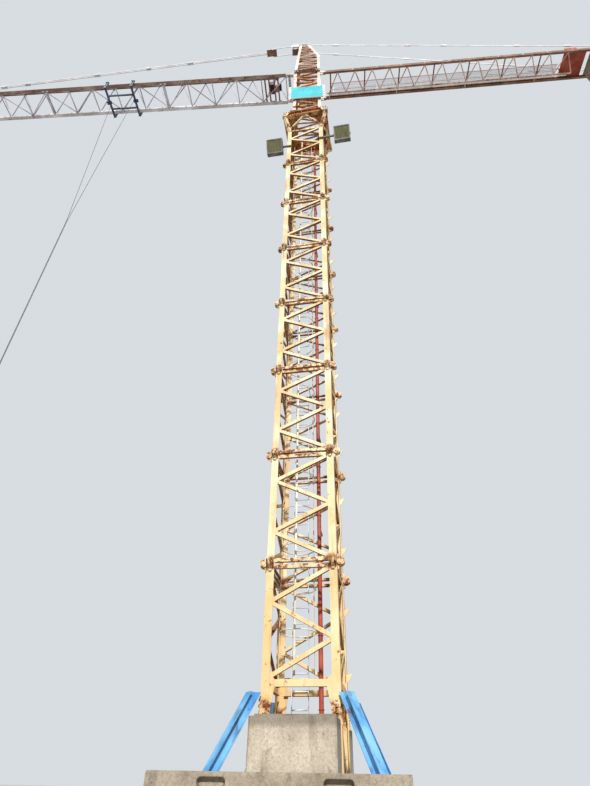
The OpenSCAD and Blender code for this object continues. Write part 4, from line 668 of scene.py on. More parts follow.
def addMast():
    inner = crane["mastWide"] / 2 - crane["legThick"] - crane["braceThick"]
    for k, name in enumerate(("front", "right", "back", "left")):
        work = Steelwork(spin(90 * k, "Z"))
        work.angleLegs(mastLines(), shift(0, -inner, 0), crane["braceWide"], mast["legThin"], mast["legDeep"],
                       mast["reach"])
        # the standing legs get the dark brown of painted shade
        work.finish("mastBraceLegs_" + name, "mastShadeAndRust", "tower", "mast_paint")
    out, mid = crane["mastWide"] / 2 + crane["lugWide"] * 0.4, (crane["mastWide"] - crane["legWide"]) / 2
    gap, pins = crane["lugThick"] / 2 + mast["pinGap"], []
    for i in range(1, crane["sections"]):
        z = crane["stubTop"] + i * crane["sectionHigh"]
        for a, b, s in ((a, b, s) for a in (-1, 1) for b in (-1, 1) for s in (-1, 1)):
            pins.append(((a * out, b * mid + s * gap, z), (0, s, 0)))
            pins.append(((a * mid + s * gap, b * out, z), (s, 0, 0)))
    addBolts("jointPinHeads", pins, mast["pinHead"], mast["pinHeadHigh"], "mast", "tower", "mast_paint")
    low, top = crane["stubTop"] + mast["hoopFrom"], mastTop - mast["hoopFrom"]
    hoopY = mast["ladderY"] - mast["ladderWide"] / 2 - mast["hoopBack"]
    hoops = [((mast["ladderX"], hoopY, z), zUp) for z in every(low, top, mast["hoopEvery"])]
    addHoops("ladderHoops", hoops, mast["hoopRadius"], mast["hoopBar"], "hoop", "tower", "grey_paint")
    clamps = [((mast["riserX"], mast["riserY"], z), zUp)
              for z in every(crane["crossTop"] + mast["clampFrom"], mastTop, mast["clampEvery"])]
    addHoops("riserClamps", clamps, mast["riserWide"] / 2 + mast["clampGap"], mast["clampBar"], "oxide",
             "tower", "red_paint")
    straps = Steelwork()
    for angle in map(math.radians, mast["strapAngles"]):
        outward = Vector((math.cos(angle), math.sin(angle), 0))
        foot = Vector((mast["ladderX"], hoopY, low - mast["strapDown"])) + outward * mast["hoopRadius"]
        straps.beam(foot, (foot.x, foot.y, top), mast["strapWide"], mast["strap"], outward)
    straps.finish("ladderHoopStraps", "hoop", "tower", "grey_paint")


addMast()
print("mast braces, pins and ladder hoops")


# head: the standing legs of its lacing, cross beams, sign frames, pulley and bolts

headTrim = {"legDeep": 0.062, "legThin": 0.008, "beamHigh": 0.13, "beamDeep": 0.04, "flange": 0.045,
            "plate": 0.012, "web": 0.006, "ribs": (-0.5, -0.25, 0, 0.25, 0.5), "rib": 0.01,
            "ends": (-0.56, -0.44, 0.44, 0.56), "endRow": 0.035, "signWide": 1.4, "signHigh": 1.0,
            "signUp": 1.13, "signOut": 0.1, "frameWide": 0.12, "frameDeep": 0.09, "framePast": 0.07,
            "frameIn": 0.035, "signBolts": 6, "signBoltEvery": 0.18, "rail": (-0.01, 0.03), "sheave": 0.3,
            "sheaveWide": 0.1, "sheaveBore": 0.028, "sheaveDown": 0.02, "bolt": 0.046, "boltHigh": 0.02,
            "gap": 0.0004, "coverY": 0.196, "coverThick": 0.008,
            "cover": [(-0.86, -0.02), (-0.1, -0.02), (-0.1, 0.2), (-0.2, 0.3), (-0.78, 0.3), (-0.86, 0.22)],
            "coverBolts": ((-0.76, 0.08), (0.0, 0.08)), "guard": (-0.82, -0.63, -0.44), "guardWide": 0.28,
            "guardLow": -0.13, "guardHigh": 0.02, "guardFoot": 0.01, "guardTaper": 0.004,
            "cheekBolts": (-0.62, -0.3, -0.15), "cheekBoltUp": 0.09, "capBolts": (-0.3, -0.05),
            "capBoltY": 0.24, "capBoltUp": 0.03, "signBoltUp": 0.05}


def zigzag(left, right, a, b, bays, rise):
    # level bars and diagonals between two edges, as the solids have them
    step = (b - a) / bays
    lines = [((left[i], a + i * step), (right[i], a + i * step)) for i in range(bays + 1)]
    for i in range(bays):
        low, high = a + i * step + rise, a + (i + 1) * step - rise
        here, there = (left, right) if i % 2 == 0 else (right, left)
        lines.append(((here[i], low), (there[i + 1], high)))
    return lines


def faceLines():
    # the bars of a lower face, and of an upper face in its own leaning plane
    low, high = head["lowBays"], head["highBays"]
    edge = (head["wide"] - head["chord"]) / 2
    lower = zigzag([-edge] * (low + 1), [edge] * (low + 1), head["barIn"], kneeZ - headZ - head["barIn"], low,
                   head["barRise"])
    lean = math.atan((head["deep"] - head["topDeep"]) / 2 / (apexZ - kneeZ))
    long, shoulder = (apexZ - kneeZ) / math.cos(lean), (shoulderZ - kneeZ) / math.cos(lean)
    a, b = head["barIn"], long - head["barIn"]
    heights = [a + i * (b - a) / high for i in range(high + 1)]
    left = [head["jibLean"] * v / long - edge for v in heights]
    right = [edge - head["rearLean"] * max(0, (v - shoulder) / (long - shoulder)) for v in heights]
    return lower, zigzag(left, right, a, b, high, head["barRise"]), lean


def sideLines(a, b, bays):
    # the bars that tie the two faces together, y across and z up
    def reach(z):
        lean = (head["deep"] - head["topDeep"]) * max(0, (z - kneeZ) / (apexZ - kneeZ))
        return (head["deep"] - lean) / 2 - head["thick"] - 0.004
    edges = [reach(a + i * (b - a) / bays) for i in range(bays + 1)]
    return zigzag([-y for y in edges], edges, a, b, bays, 0.0)


def addLegs(name, look, *faces):
    # each face is its lines, the frame they are in and the wall they are drawn on
    work = Steelwork()
    for lines, place, wall in faces:
        work.place = place
        work.angleLegs(lines, wall, head["bar"], headTrim["legThin"], headTrim["legDeep"])
    work.finish(name, look, "upperworks", "head_paint")


def addHeadLegs():
    lower, upper, lean = faceLines()
    for name, side in (("front", 1), ("back", -1)):
        place = headFrame @ flip(1, side, 1)
        leaning = place @ shift(0, -head["deep"] / 2, kneeZ) @ spin(-math.degrees(lean), "X")
        wall = shift(0, head["thick"] - head["deep"] / 2, headZ)
        addLegs("headLacingLegs_" + name, "lacing", (lower, place, wall))
        addLegs("headUpperLacingLegs_" + name, "lacingUpper", (upper, leaning, shift(0, head["thick"], 0)))
    inner, half = head["thick"] + headTrim["gap"] + head["barThick"], head["wide"] / 2
    low = headZ + head["barIn"] + head["bar"]
    addLegs("headSideLacingLegs", "lacing",
            (sideLines(low, kneeZ - head["barIn"], head["lowBays"]), headFrame,
             shift(inner - half, 0, 0) @ toWall),
            (sideLines(low, shoulderZ - 2 * head["barIn"], head["lowBays"] + 3), headFrame,
             shift(half - inner, 0, 0) @ flip(-1, 1, 1) @ toWall))
    tilt = math.degrees(math.atan(head["jibLean"] / (apexZ - kneeZ)))
    addLegs("headUpperSideLacingLegs", "lacingUpper",
            (sideLines(kneeZ + head["barIn"], apexZ - 3 * head["barIn"], head["highBays"]),
             headFrame @ shift(-half, 0, kneeZ) @ spin(tilt, "Y") @ shift(0, 0, -kneeZ),
             shift(inner + 0.01, 0, 0) @ toWall))


def crossBeams(bolts):
    half, y = head["wide"] / 2, head["deep"] / 2 + headTrim["beamDeep"]
    low, high, plate = pinZ - headTrim["beamHigh"] / 2, pinZ + headTrim["beamHigh"] / 2, headTrim["plate"]
    rim, web, rib = y + headTrim["flange"], y + headTrim["web"], headTrim["rib"] / 2
    beams = Steelwork(headFrame)
    for s in (-1, 1):
        for z in (low - plate, high):
            beams.onSide(s, (-half, y, z), (half, rim, z + plate))
        beams.onSide(s, (-half, y, low), (half, web, high))
        for x in headTrim["ribs"]:
            beams.onSide(s, (x - rib, y, low), (x + rib, rim, high))
        for x in headTrim["ends"]:
            for dz in (-headTrim["endRow"], headTrim["endRow"]):
                bolts.append(spot(headFrame, (x, s * web, pinZ + dz), (0, s, 0)))
    beams.finish("headCrossBeams", "girder", "upperworks", "rusty_paint")


def signFrames(bolts):
    work = Steelwork(headFrame)
    face, low = -head["deep"] / 2 - headTrim["signOut"], headZ + headTrim["signUp"]
    high, half, past = low + headTrim["signHigh"], headTrim["signWide"] / 2, headTrim["framePast"]
    wide, plate, back = headTrim["frameWide"] / 2, headTrim["plate"], face + headTrim["frameDeep"]
    for x in (-half - headTrim["frameIn"], half + headTrim["frameIn"]):
        work.block((x - wide, face - plate, low - past), (x + wide, face, high + past))
        for e in (x - wide + plate / 2, x + wide - plate / 2):
            work.block((e - plate / 2, face - plate, low - past), (e + plate / 2, back, high + past))
        for k in range(headTrim["signBolts"]):
            z = low + headTrim["signBoltUp"] + k * headTrim["signBoltEvery"]
            bolts.append(spot(headFrame, (x, face - plate, z), (0, -1, 0)))
    for z in (low - plate, high):
        work.block((-half, face + headTrim["rail"][0], z), (half, face + headTrim["rail"][1], z + plate))
    work.finish("signEndFrames", "white", "upperworks", "grey_paint")


def headTop(bolts):
    wheel = Steelwork(headFrame)
    axle = (headTrim["sheave"] - head["pinOut"], 0, apexZ + head["pinUp"] - headTrim["sheaveDown"])
    wheel.pulley(axle, yAxis, headTrim["sheave"] / 2, headTrim["sheaveWide"], headTrim["sheaveBore"])
    wheel.finish("headPulley", "oxide", "upperworks", "red_paint")
    cover, under = Steelwork(headFrame), Steelwork(headFrame)
    inner, outer = headTrim["coverY"], headTrim["coverY"] + headTrim["coverThick"]
    for s in (-1, 1):
        sides = sorted((s * inner, s * outer))
        cover.solid(*[[(x, y, apexZ + z) for x, z in headTrim["cover"]] for y in sides])
        bolts += [spot(headFrame, (x, s * outer, apexZ + z), (0, s, 0)) for x, z in headTrim["coverBolts"]]
    half, first, last = headTrim["guardWide"] / 2, headTrim["guard"][0], headTrim["guard"][-1]
    low, plate = apexZ + headTrim["guardLow"], headTrim["plate"]
    for x in headTrim["guard"]:
        under.block((x, -half, low), (x + plate, half, apexZ + headTrim["guardHigh"]))
    # the plate under the cheeks is dark brown: painted shade of the underside, with rust
    under.block((first, -half, low - headTrim["guardFoot"]), (last + plate, half, low),
                headTrim["guardTaper"])
    cover.finish("headCoverPlates", "white", "upperworks", "grey_paint")
    under.finish("headRopeGuard", "girder", "upperworks", "rusty_paint")
    for s in (-1, 1):
        y = s * (head["cheekY"] + head["cheek"] / 2)
        bolts += [spot(headFrame, (x, y, apexZ + headTrim["cheekBoltUp"]), (0, s, 0))
                  for x in headTrim["cheekBolts"]]
        bolts += [spot(headFrame, (x, s * headTrim["capBoltY"], apexZ + headTrim["capBoltUp"]), zUp)
                  for x in headTrim["capBolts"]]


def addHeadTrim():
    bolts = []
    crossBeams(bolts)
    signFrames(bolts)
    headTop(bolts)
    addBolts("headBolts", bolts, headTrim["bolt"], headTrim["boltHigh"], "white", "upperworks", "head_paint")


addHeadLegs()
addHeadTrim()
print("head lacing, beams and sign frames")


# ring: bolts above and below the bearing, corner plates and ribs of the support

ring = {"count": 36, "bolt": 0.036, "boltHigh": 0.024, "cornerWide": 0.3, "cornerHigh": 0.26,
        "cornerThick": 0.014, "cornerCut": 0.13, "overlap": 0.01, "flange": 0.02,
        "cornerBolts": ((0.05, 0.06), (0.05, 0.2), (0.14, 0.2), (0.23, 0.2), (0.12, 0.08)),
        "ribs": (-0.42, -0.14, 0.14, 0.42), "rib": 0.012, "ribFrom": 0.004, "ribTo": 0.075, "ribLow": 0.3,
        "ribHigh": 0.035}


def addRing():
    below, above, radius = [], [], crane["boltCircle"] / 2
    for angle in around(ring["count"]):
        x, y = radius * math.cos(angle), radius * math.sin(angle)
        below.append(((x, y, ringZ - crane["supportPlate"]), zDown))
        above.append(spot(headFrame, (x, y, headZ), zUp))
    addBolts("ringBoltsAbove", above, ring["bolt"], ring["boltHigh"], "ring", "upperworks", "bearing_steel")
    half, face = crane["supportWide"] / 2, -crane["supportWide"] / 2 - ring["cornerThick"]
    high = ringZ - crane["supportPlate"] - ring["flange"]
    low = high - ring["cornerHigh"]
    plates, ribs = Steelwork(), Steelwork()
    for k in range(4):
        plates.place = ribs.place = spin(90 * k, "Z")
        for s in (-1, 1):
            x0, x1 = s * (half - ring["overlap"]), s * (half - ring["cornerWide"])
            outline = [(x0, low), (x0, high), (x1, high), (x1 + s * ring["cornerCut"], low)]
            plates.solid(*[[(x, y, z) for x, z in outline] for y in (face, -half)])
            below += [spot(plates.place, (s * (half - dx), face, low + dz), (0, -1, 0), plates.place)
                      for dx, dz in ring["cornerBolts"]]
        for x in ring["ribs"]:
            ribs.block((x - ring["rib"] / 2, ring["ribFrom"] - half, ringZ - ring["ribLow"]),
                       (x + ring["rib"] / 2, ring["ribTo"] - half, ringZ - ring["ribHigh"]))
    ribs.finish("supportBeamRibs", "ring", "tower", "rusty_paint")
    plates.finish("supportCornerPlates", "hoop", "tower", "grey_paint")
    addBolts("supportBolts", below, ring["bolt"], ring["boltHigh"], "ring", "tower", "bearing_steel")


addRing()
print("ring bolts and corner plates")


# jib: the standing legs of its lacing, section collars and cross beams

jibTrim = {"legDeep": 0.036, "legThin": 0.006, "legIn": 0.01, "floorLeg": 0.028, "every": 5,
           "collarLong": 0.34, "collar": 0.009, "collarIn": 0.006, "collarPast": 0.004, "beamWide": 0.11,
           "beamUp": 0.002, "beamPlateUp": 0.08, "beamTop": 0.085, "web": 0.012, "rootIn": 0.16,
           "lowBolts": (-0.13, -0.08, 0.08, 0.13), "highBolts": (-0.13, -0.06, 0.06, 0.13), "bolt": 0.034,
           "boltHigh": 0.016}


def jibLacing():
    half, rise = jib["wide"] / 2, jib["high"] - jib["chord"]
    run = half - jib["chord"] / 4
    tilt, foot = math.degrees(math.atan2(run, rise)), jibTrim["legIn"]
    top = math.hypot(run, rise) - foot
    joints = [-jib["root"] - i * jib["bay"] for i in range(jib["bays"])]
    lines = []
    for x in joints:
        peak, end = x - jib["bay"] / 2, x - jib["bay"]
        lines += [((x, foot), (peak, top)), ((peak, top), (end, foot))]
    for side, name in ((-1, "front"), (1, "back")):
        work = Steelwork(jibFrame @ shift(0, side * half, jibZ + jib["chord"]) @ spin(90 + side * tilt, "X"))
        wall = Matrix(((1, 0, 0, 0), (0, 0, 1, 0), (0, side, 0, side * jib["laceThick"] / 2), (0, 0, 0, 1)))
        work.angleLegs(lines, wall, jib["lace"], jibTrim["legThin"], jibTrim["legDeep"])
        work.finish("jibLacingLegs_" + name, "jib", "upperworks", "head_paint")


def jibFloor(inner):
    floor = Steelwork(jibFrame @ shift(0, 0, jibZ + jib["floorUp"] + jib["laceThick"]))
    z = jibTrim["floorLeg"] / 2
    for i in range(jib["bays"] + 1):
        x, y = -jib["root"] - i * jib["bay"], -inner if i % 2 == 0 else inner
        ends = [((x, -inner, z), (x, inner, z))]
        if i < jib["bays"]:
            ends.append(((x, y, z), (x - jib["bay"], -y, z)))
        for a, b in ends:
            floor.beam(a, b, jibTrim["legThin"], jibTrim["floorLeg"], zUp)
    floor.finish("jibFloorLegs", "jib", "upperworks", "head_paint")


def jibCollars(inner):
    beams, collars, bolts = Steelwork(jibFrame), Steelwork(jibFrame), []
    half, plate = jib["wide"] / 2, jibTrim["collar"]
    reach, w = jibTrim["collarLong"] / 2, jibTrim["beamWide"] / 2
    low, high, chord, web = jibZ, jibZ + jib["chord"], jib["chord"] / 2, jibTrim["web"] / 2
    for k in range(0, jib["bays"] + 1, jibTrim["every"]):
        x = -jib["root"] - k * jib["bay"] + (jibTrim["rootIn"] if k == 0 else 0)
        for z in (low + jibTrim["beamUp"], low + jibTrim["beamPlateUp"]):
            beams.block((x - w, -inner, z), (x + w, inner, z + plate))
        beams.block((x - web, -inner, low + jibTrim["beamUp"]), (x + web, inner, low + jibTrim["beamTop"]))
        for s in (-1, 1):
            for z in (low - plate, high):
                collars.onSide(s, (x - reach, inner - jibTrim["collarIn"], z),
                               (x + reach, half + chord, z + plate))
            collars.onSide(s, (x - reach, inner - plate, low - plate), (x + reach, inner, high + plate))
            for dx in jibTrim["lowBolts"]:
                bolts.append(spot(jibFrame, (x + dx, s * half, low - plate), zDown))
                bolts.append(spot(jibFrame, (x + dx, s * half, high + plate), zUp))
        if 0 < k < jib["bays"]:
            peak, z, past = x + jib["bay"] / 2, jibZ + jib["high"], jibTrim["collarPast"]
            for s in (-1, 1):
                collars.onSide(s, (peak - reach, chord, z - past),
                               (peak + reach, chord + plate, z + 2 * chord + past))
                bolts += [spot(jibFrame, (peak + dx, s * (chord + plate), z + chord), (0, s, 0))
                          for dx in jibTrim["highBolts"]]
    beams.finish("jibCrossBeams", "jib", "upperworks", "grey_paint")
    collars.finish("jibCollars", "chords", "upperworks", "grey_paint")
    addBolts("jibBolts", bolts, jibTrim["bolt"], jibTrim["boltHigh"], "white", "upperworks", "grey_paint")


jibLacing()
jibFloor((jib["wide"] - jib["chord"]) / 2)
jibCollars((jib["wide"] - jib["chord"]) / 2)
print("jib lacing, collars and cross beams")


# trolley, its caps, wheel rims and pulleys, and the hook block's own

carriage = {"capWide": 0.18, "capDeep": 0.085, "capHigh": 0.035, "capIn": 0.03, "capUp": 0.101,
            "capTaper": 0.012, "face": 0.016, "ribOut": 0.028, "rib": 0.01, "ribX": 0.05, "ribTop": 0.09,
            "axleOut": 0.03, "axleWide": 0.034, "axleEnd": 0.028, "rim": 0.072, "rimBore": 0.03,
            "rimGap": 0.008, "rimIn": 0.004, "bolt": 0.03, "boltHigh": 0.014, "gap": 0.0003,
            "ropeGap": 0.0006, "boltLow": 0.03, "boltMiddle": 0.1, "boltDown": 0.09,
            "flange": [(0.02, 0.0252), (0.108, 0.0252), (0.128, 0.033), (0.128, 0.038), (0.05, 0.034),
                       (0.045, 0.055), (0.02, 0.055)]}


def addTrolley():
    track = jib["wide"] / 2 + jib["chord"] / 2
    outside = track + trolley["run"] + trolley["runGap"]
    wheelZ = jibZ + trolley["runThick"] + carriage["gap"] + trolley["wheel"] / 2
    capLow, capIn = wheelZ + carriage["capUp"], outside - carriage["capIn"]
    near, far = carriage["rimGap"], trolley["run"] - carriage["rimIn"]
    rim = [(carriage[r], z) for r, z in (("rimBore", near), ("rim", near), ("rim", far), ("rimBore", far))]
    caps, rims, stiff, bolts = Steelwork(trolleyFrame), Steelwork(trolleyFrame), Steelwork(trolleyFrame), []
    w, rib, face = carriage["capWide"] / 2, carriage["rib"] / 2, outside + carriage["face"]
    for s in (-1, 1):
        x = s * (trolley["long"] / 2 - trolley["axleIn"])
        for t in (-1, 1):
            caps.onSide(t, (x - w, capIn, capLow),
                        (x + w, capIn + carriage["capDeep"], capLow + carriage["capHigh"]),
                        carriage["capTaper"])
            for e in (x - carriage["ribX"], x + carriage["ribX"]):
                stiff.onSide(t, (e - rib, face, trolleyZ), (e + rib, outside + carriage["ribOut"],
                                                            wheelZ + carriage["ribTop"]))
            rims.round((x, t * face, wheelZ), (x, t * (outside + carriage["axleOut"]), wheelZ),
                       carriage["axleWide"], 14, carriage["axleEnd"])
            rims.lathe((x, t * track, wheelZ), (0, t, 0), rim, 24)
            bolts += [spot(trolleyFrame, (x, t * face, z), (0, t, 0))
                      for z in (trolleyZ + carriage["boltLow"], trolleyZ + carriage["boltMiddle"],
                                wheelZ - carriage["boltDown"])]
        sheaveX = s * (trolley["fallOut"] + (trolley["pulley"] + trolley["rope"]) / 2 + carriage["ropeGap"])
        lean = sheaveX * math.tan(math.radians(jib["incline"]))
        for t in (-1, 1):
            rims.lathe((sheaveX, 0, trolleyZ + trolley["sheaveUp"] + lean), (0, t, 0), carriage["flange"], 24)
    caps.finish("trolleyCaps", "cyan", "trolley", "grey_paint")
    stiff.finish("trolleyPostRibs", "pale", "trolley", "blue_paint")
    rims.finish("trolleyRims", "navy", "trolley", "blue_paint")
    addBolts("trolleyBolts", bolts, carriage["bolt"], carriage["boltHigh"], "pale", "trolley", "blue_paint")


fallTop = jibFrame @ Vector((-trolley["out"], 0, trolleyZ + trolley["sheaveUp"]))
fallX = (headFrame.inverted() @ fallTop).x
hookTrim = {"cheek": 0.02, "bolt": 0.026, "boltHigh": 0.012, "nutDown": 0.05, "gap": 0.0003, "turns": 24,
            "bend": 270, "bendDown": 0.025, "shankIn": 0.03, "shankWide": 0.028, "shankFoot": 0.026,
            "thick": 0.025, "saddle": 0.011, "saddleTurns": 20, "tip": 0.013, "tipTurns": 6,
            "latchFrom": (-0.03, 0.01), "latchTo": (-0.085, 0.02), "latchWide": 0.03, "latch": 0.006,
            "boltSpots": ((-0.08, -0.18), (0.08, -0.18), (-0.1, 0.06), (0.1, 0.06), (-0.04, -0.3),
                          (0.04, -0.3)),
            "collar": [(0.03, 0), (0.062, 0), (0.062, 0.006), (0.045, 0.012), (0.03, 0.012)],
            "nut": [(0.0285, 0), (0.055, 0), (0.06, 0.012), (0.055, 0.04), (0.0285, 0.04)]}


def addHook():
    place = headFrame @ shift(fallX, 0, hook["axle"])
    work, curve, bolts = Steelwork(place), Steelwork(place), []
    for t in (-1, 1):
        cheek = t * (hook["cheekIn"] + hookTrim["cheek"])
        work.lathe((0, cheek, 0), (0, t, 0), hookTrim["collar"], 20)
        bolts += [spot(place, (x, cheek, z), (0, t, 0)) for x, z in hookTrim["boltSpots"]]
    work.lathe((0, 0, -hook["low"] - hookTrim["nutDown"]), zUp, hookTrim["nut"], 20)
    work.finish("hookBlockCollars", "hookYellow", "hook", "hook_paint")
    foot, bend = -hook["low"] - hook["shank"], (hook["outer"] + hook["inner"]) / 4
    centre, turns = foot - hook["outer"] / 2 + hookTrim["bendDown"], hookTrim["turns"]
    points = [(0, 0, -hook["low"] - hookTrim["gap"]), (0, 0, foot + hookTrim["shankIn"])]
    radii = [hookTrim["shankWide"], hookTrim["shankFoot"]]
    for k in range(turns + 1):
        # thickest in the saddle, and drawn in at the tip
        angle = math.radians(90 - k * hookTrim["bend"] / turns)
        points.append((bend * math.cos(angle), 0, centre + bend * math.sin(angle)))
        bulge = hookTrim["saddle"] * math.sin(math.pi * min(1, k / hookTrim["saddleTurns"]))
        drawn = hookTrim["tip"] * max(0, (k - turns + hookTrim["tipTurns"]) / hookTrim["tipTurns"])
        radii.append(hookTrim["thick"] + bulge - drawn)
    curve.sweep(points, radii)
    (fromX, fromUp), (toX, toUp) = hookTrim["latchFrom"], hookTrim["latchTo"]
    curve.beam((fromX, 0, foot + fromUp), (toX, 0, centre + toUp), hookTrim["latchWide"], hookTrim["latch"],
               (1, 0, 0))
    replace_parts(curve.finish("curvedHook", "oxide", "hook", "hook_paint"), "load_hook")
    addBolts("hookBlockBolts", bolts, hookTrim["bolt"], hookTrim["boltHigh"], "pale", "hook", "hook_paint")


rope = {"meet": 9.6, "part": 0.8, "close": 0.014, "sides": 10}


def addRope():
    # two falls with rings only where they bend
    wheel = hook["pulley"] / 2
    lean = math.atan2(wheel, rope["part"])
    foot = (wheel + trolley["rope"] / 2 + carriage["ropeGap"]) / math.cos(lean)
    course = [(trolley["fallOut"], fallTop.z), (rope["close"], fallTop.z - rope["meet"]),
              (rope["close"], hook["axle"] + rope["part"]), (foot, hook["axle"])]
    falls, radii = Steelwork(headFrame), [trolley["rope"] / 2] * len(course)
    for s in (-1, 1):
        falls.sweep([(fallX + s * out, 0, z) for out, z in course], radii, rope["sides"])
    piece = falls.finish("hoistRope", "rope", None, "rope_steel")
    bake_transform(piece)
    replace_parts(piece, "hoist_falls")


addTrolley()
addHook()
addRope()
print("trolley, hook and rope")


# ties: the couplings of their bars and the yoke's cover plates

tieTrim = {"shares": (0.215, 0.47, 0.725), "rearShares": (0.1, 0.47, 0.85), "long": 0.3, "wide": 0.1,
           "deep": 0.056, "yoke": 0.155, "capWide": 0.27, "link": 1.0, "yokeLong": 0.32, "barOut": 0.036,
           "rearX": 0.04, "rearY": 0.177, "rearIn": 0.036, "rearUp": 0.09, "sideOut": 0.165,
           "sideIn": 0.15345, "plate": 0.012, "capUp": 0.071, "bolt": 0.034, "boltHigh": 0.016,
           "boltAlong": 0.06, "boltUp": 0.045, "sideFrom": 0.1, "sideTo": 0.12,
           "capFrom": 0.09, "capTo": 0.1}


def addTies():
    couplings, covers, bolts = Steelwork(headFrame), Steelwork(headFrame), []

    def couple(a, b, shares):
        # a sleeve at each share of the way from a to b
        along = (b - a).normalized()
        reach, facing = along * tieTrim["long"] / 2, along.cross(Vector(yAxis))
        for share in shares:
            middle = a + (b - a) * share
            couplings.beam(middle - reach, middle + reach, tieTrim["deep"], tieTrim["wide"], facing)

    eyeZ = apexZ + head["pinUp"]
    start = Vector((-head["pinOut"], 0, eyeZ))
    end = Vector((-jib["tieBay"], 0, jibZ + jib["high"] + jib["chord"] + jib["tieEye"]))
    end = headFrame.inverted() @ jibFrame @ end
    end.y = 0
    along = (end - start).normalized()
    near, far = start + along * tieTrim["link"], start + along * (tieTrim["link"] + tieTrim["yokeLong"])
    upward, plate = along.cross(Vector(yAxis)), tieTrim["plate"]
    for s in (-1, 1):
        bar = Vector((0, s * tieTrim["barOut"], 0))
        couple(far + bar, end + bar, tieTrim["shares"])
        rearEye = Vector((rearEnd, s * (jib["wide"] / 2 - tieTrim["rearIn"]),
                          jibZ + counter["high"] + tieTrim["rearUp"]))
        couple(Vector((tieTrim["rearX"], s * tieTrim["rearY"], eyeZ)),
               headFrame.inverted() @ counterFrame @ rearEye, tieTrim["rearShares"])
        side = Vector((0, s * tieTrim["sideIn"], 0))
        covers.beam(near - along * tieTrim["sideFrom"] + side, near + along * tieTrim["sideTo"] + side, plate,
                    tieTrim["yoke"], upward)
        for k in (-tieTrim["boltAlong"], tieTrim["boltAlong"]):
            for h in (-tieTrim["boltUp"], tieTrim["boltUp"]):
                at = near + along * k + upward * h + Vector((0, s * tieTrim["sideOut"], 0))
                bolts.append(spot(headFrame, at, (0, s, 0)))
    for lift in (upward * -tieTrim["capUp"], upward * tieTrim["capUp"]):
        covers.beam(near - along * tieTrim["capFrom"] + lift, far + along * tieTrim["capTo"] + lift,
                    tieTrim["capWide"], plate, upward)
    couplings.finish("tieCouplings", "white", "upperworks", "grey_paint")
    covers.finish("yokePlates", "girder", "upperworks", "rusty_paint")
    addBolts("yokeBolts", bolts, tieTrim["bolt"], tieTrim["boltHigh"], "white", "upperworks", "head_paint")


addTies()
print("tie couplings and yoke")


# floodlights: bezel, fluted glass, cooling fins and side blocks of each

lamp = {"wide": 0.62, "deep": 0.2, "tilt": 25, "leftX": 1.18, "rightX": 1.44, "leftDrop": 1.3,
        "rightDrop": 1.05, "out": 0.12, "bezel": 0.04, "lip": 0.012, "glassIn": 0.02, "flutes": 22,
        "fluteFoot": 0.007, "fluteTop": -0.001, "fins": 7, "finHigh": 0.03, "finIn": 0.04, "finEnd": 0.06,
        "fin": 0.01, "screw": 0.022, "screwHigh": 0.008, "screwX": (-0.28, 0, 0.28), "screwIn": 0.02,
        "sideBlock": 0.016, "taper": 0.004, "blockFrom": 0.05, "blockTo": 0.15, "blockUp": 0.04,
        "boltOut": 0.014, "boltBack": 0.1}


def addLamps():
    frames, glass, fins, bolts = Steelwork(), Steelwork(), Steelwork(), []
    half, edge, lip, inset = lamp["wide"] / 2, lamp["bezel"], lamp["lip"], lamp["glassIn"]
    for side, x, drop in ((-1, lamp["leftX"], lamp["leftDrop"]), (1, lamp["rightX"], lamp["rightDrop"])):
        place = flip(side, 1, 1) @ shift(x, -crane["mastWide"] / 2 - lamp["out"], mastTop - drop)
        place = place @ spin(lamp["tilt"], "X")
        frames.place = glass.place = fins.place = place
        inside = half - edge
        for x0, z0, x1, z1 in ((-half, -half, half, -inside), (-half, inside, half, half),
                               (-half, -inside, -inside, inside), (inside, -inside, half, inside)):
            frames.block((x0, -lip, z0), (x1, 0.0, z1))
        step = (lamp["wide"] - 2 * inset) / lamp["flutes"]
        for i in range(lamp["flutes"]):
            a = inset - half + i * step
            section = [(a, lamp["fluteFoot"]), (a + step, lamp["fluteFoot"]),
                       (a + step * 0.75, lamp["fluteTop"]), (a + step * 0.25, lamp["fluteTop"])]
            glass.solid(*[[(px, py, z) for px, py in section] for z in (inset - half, half - inset)])
        finHalf, finStep = half - lamp["finIn"], (lamp["wide"] - 2 * lamp["finEnd"]) / (lamp["fins"] - 1)
        for i in range(lamp["fins"]):
            z = lamp["finEnd"] - half + i * finStep
            fins.block((-finHalf, lamp["deep"], z - lamp["fin"] / 2),
                       (finHalf, lamp["deep"] + lamp["finHigh"], z + lamp["fin"] / 2))
        for s in (-1, 1):
            x0, x1 = sorted((s * half, s * (half + lamp["sideBlock"])))
            fins.block((x0, lamp["blockFrom"], -lamp["blockUp"]), (x1, lamp["blockTo"], lamp["blockUp"]),
                       lamp["taper"])
            bolts.append(spot(place, (s * (half + lamp["boltOut"]), lamp["boltBack"], 0), (s, 0, 0), place))
            for z in (lamp["screwIn"] - half, half - lamp["screwIn"]):
                bolts += [spot(place, (px, -lip, z), (0, -1, 0), place) for px in lamp["screwX"]]
    frames.finish("floodlightBezels", "lampGrey", "tower", "lamp_housing")
    glass.finish("floodlightGlass", "glass", "tower", "lamp_housing")
    fins.finish("floodlightFins", "lampGrey", "tower", "lamp_housing")
    addBolts("floodlightScrews", bolts, lamp["screw"], lamp["screwHigh"], "pale", "tower", "lamp_housing")


addLamps()
print("floodlights")


# counter-jib: walkway grating, conduit, rope on the drums, motors, lifting eyes and stiffeners

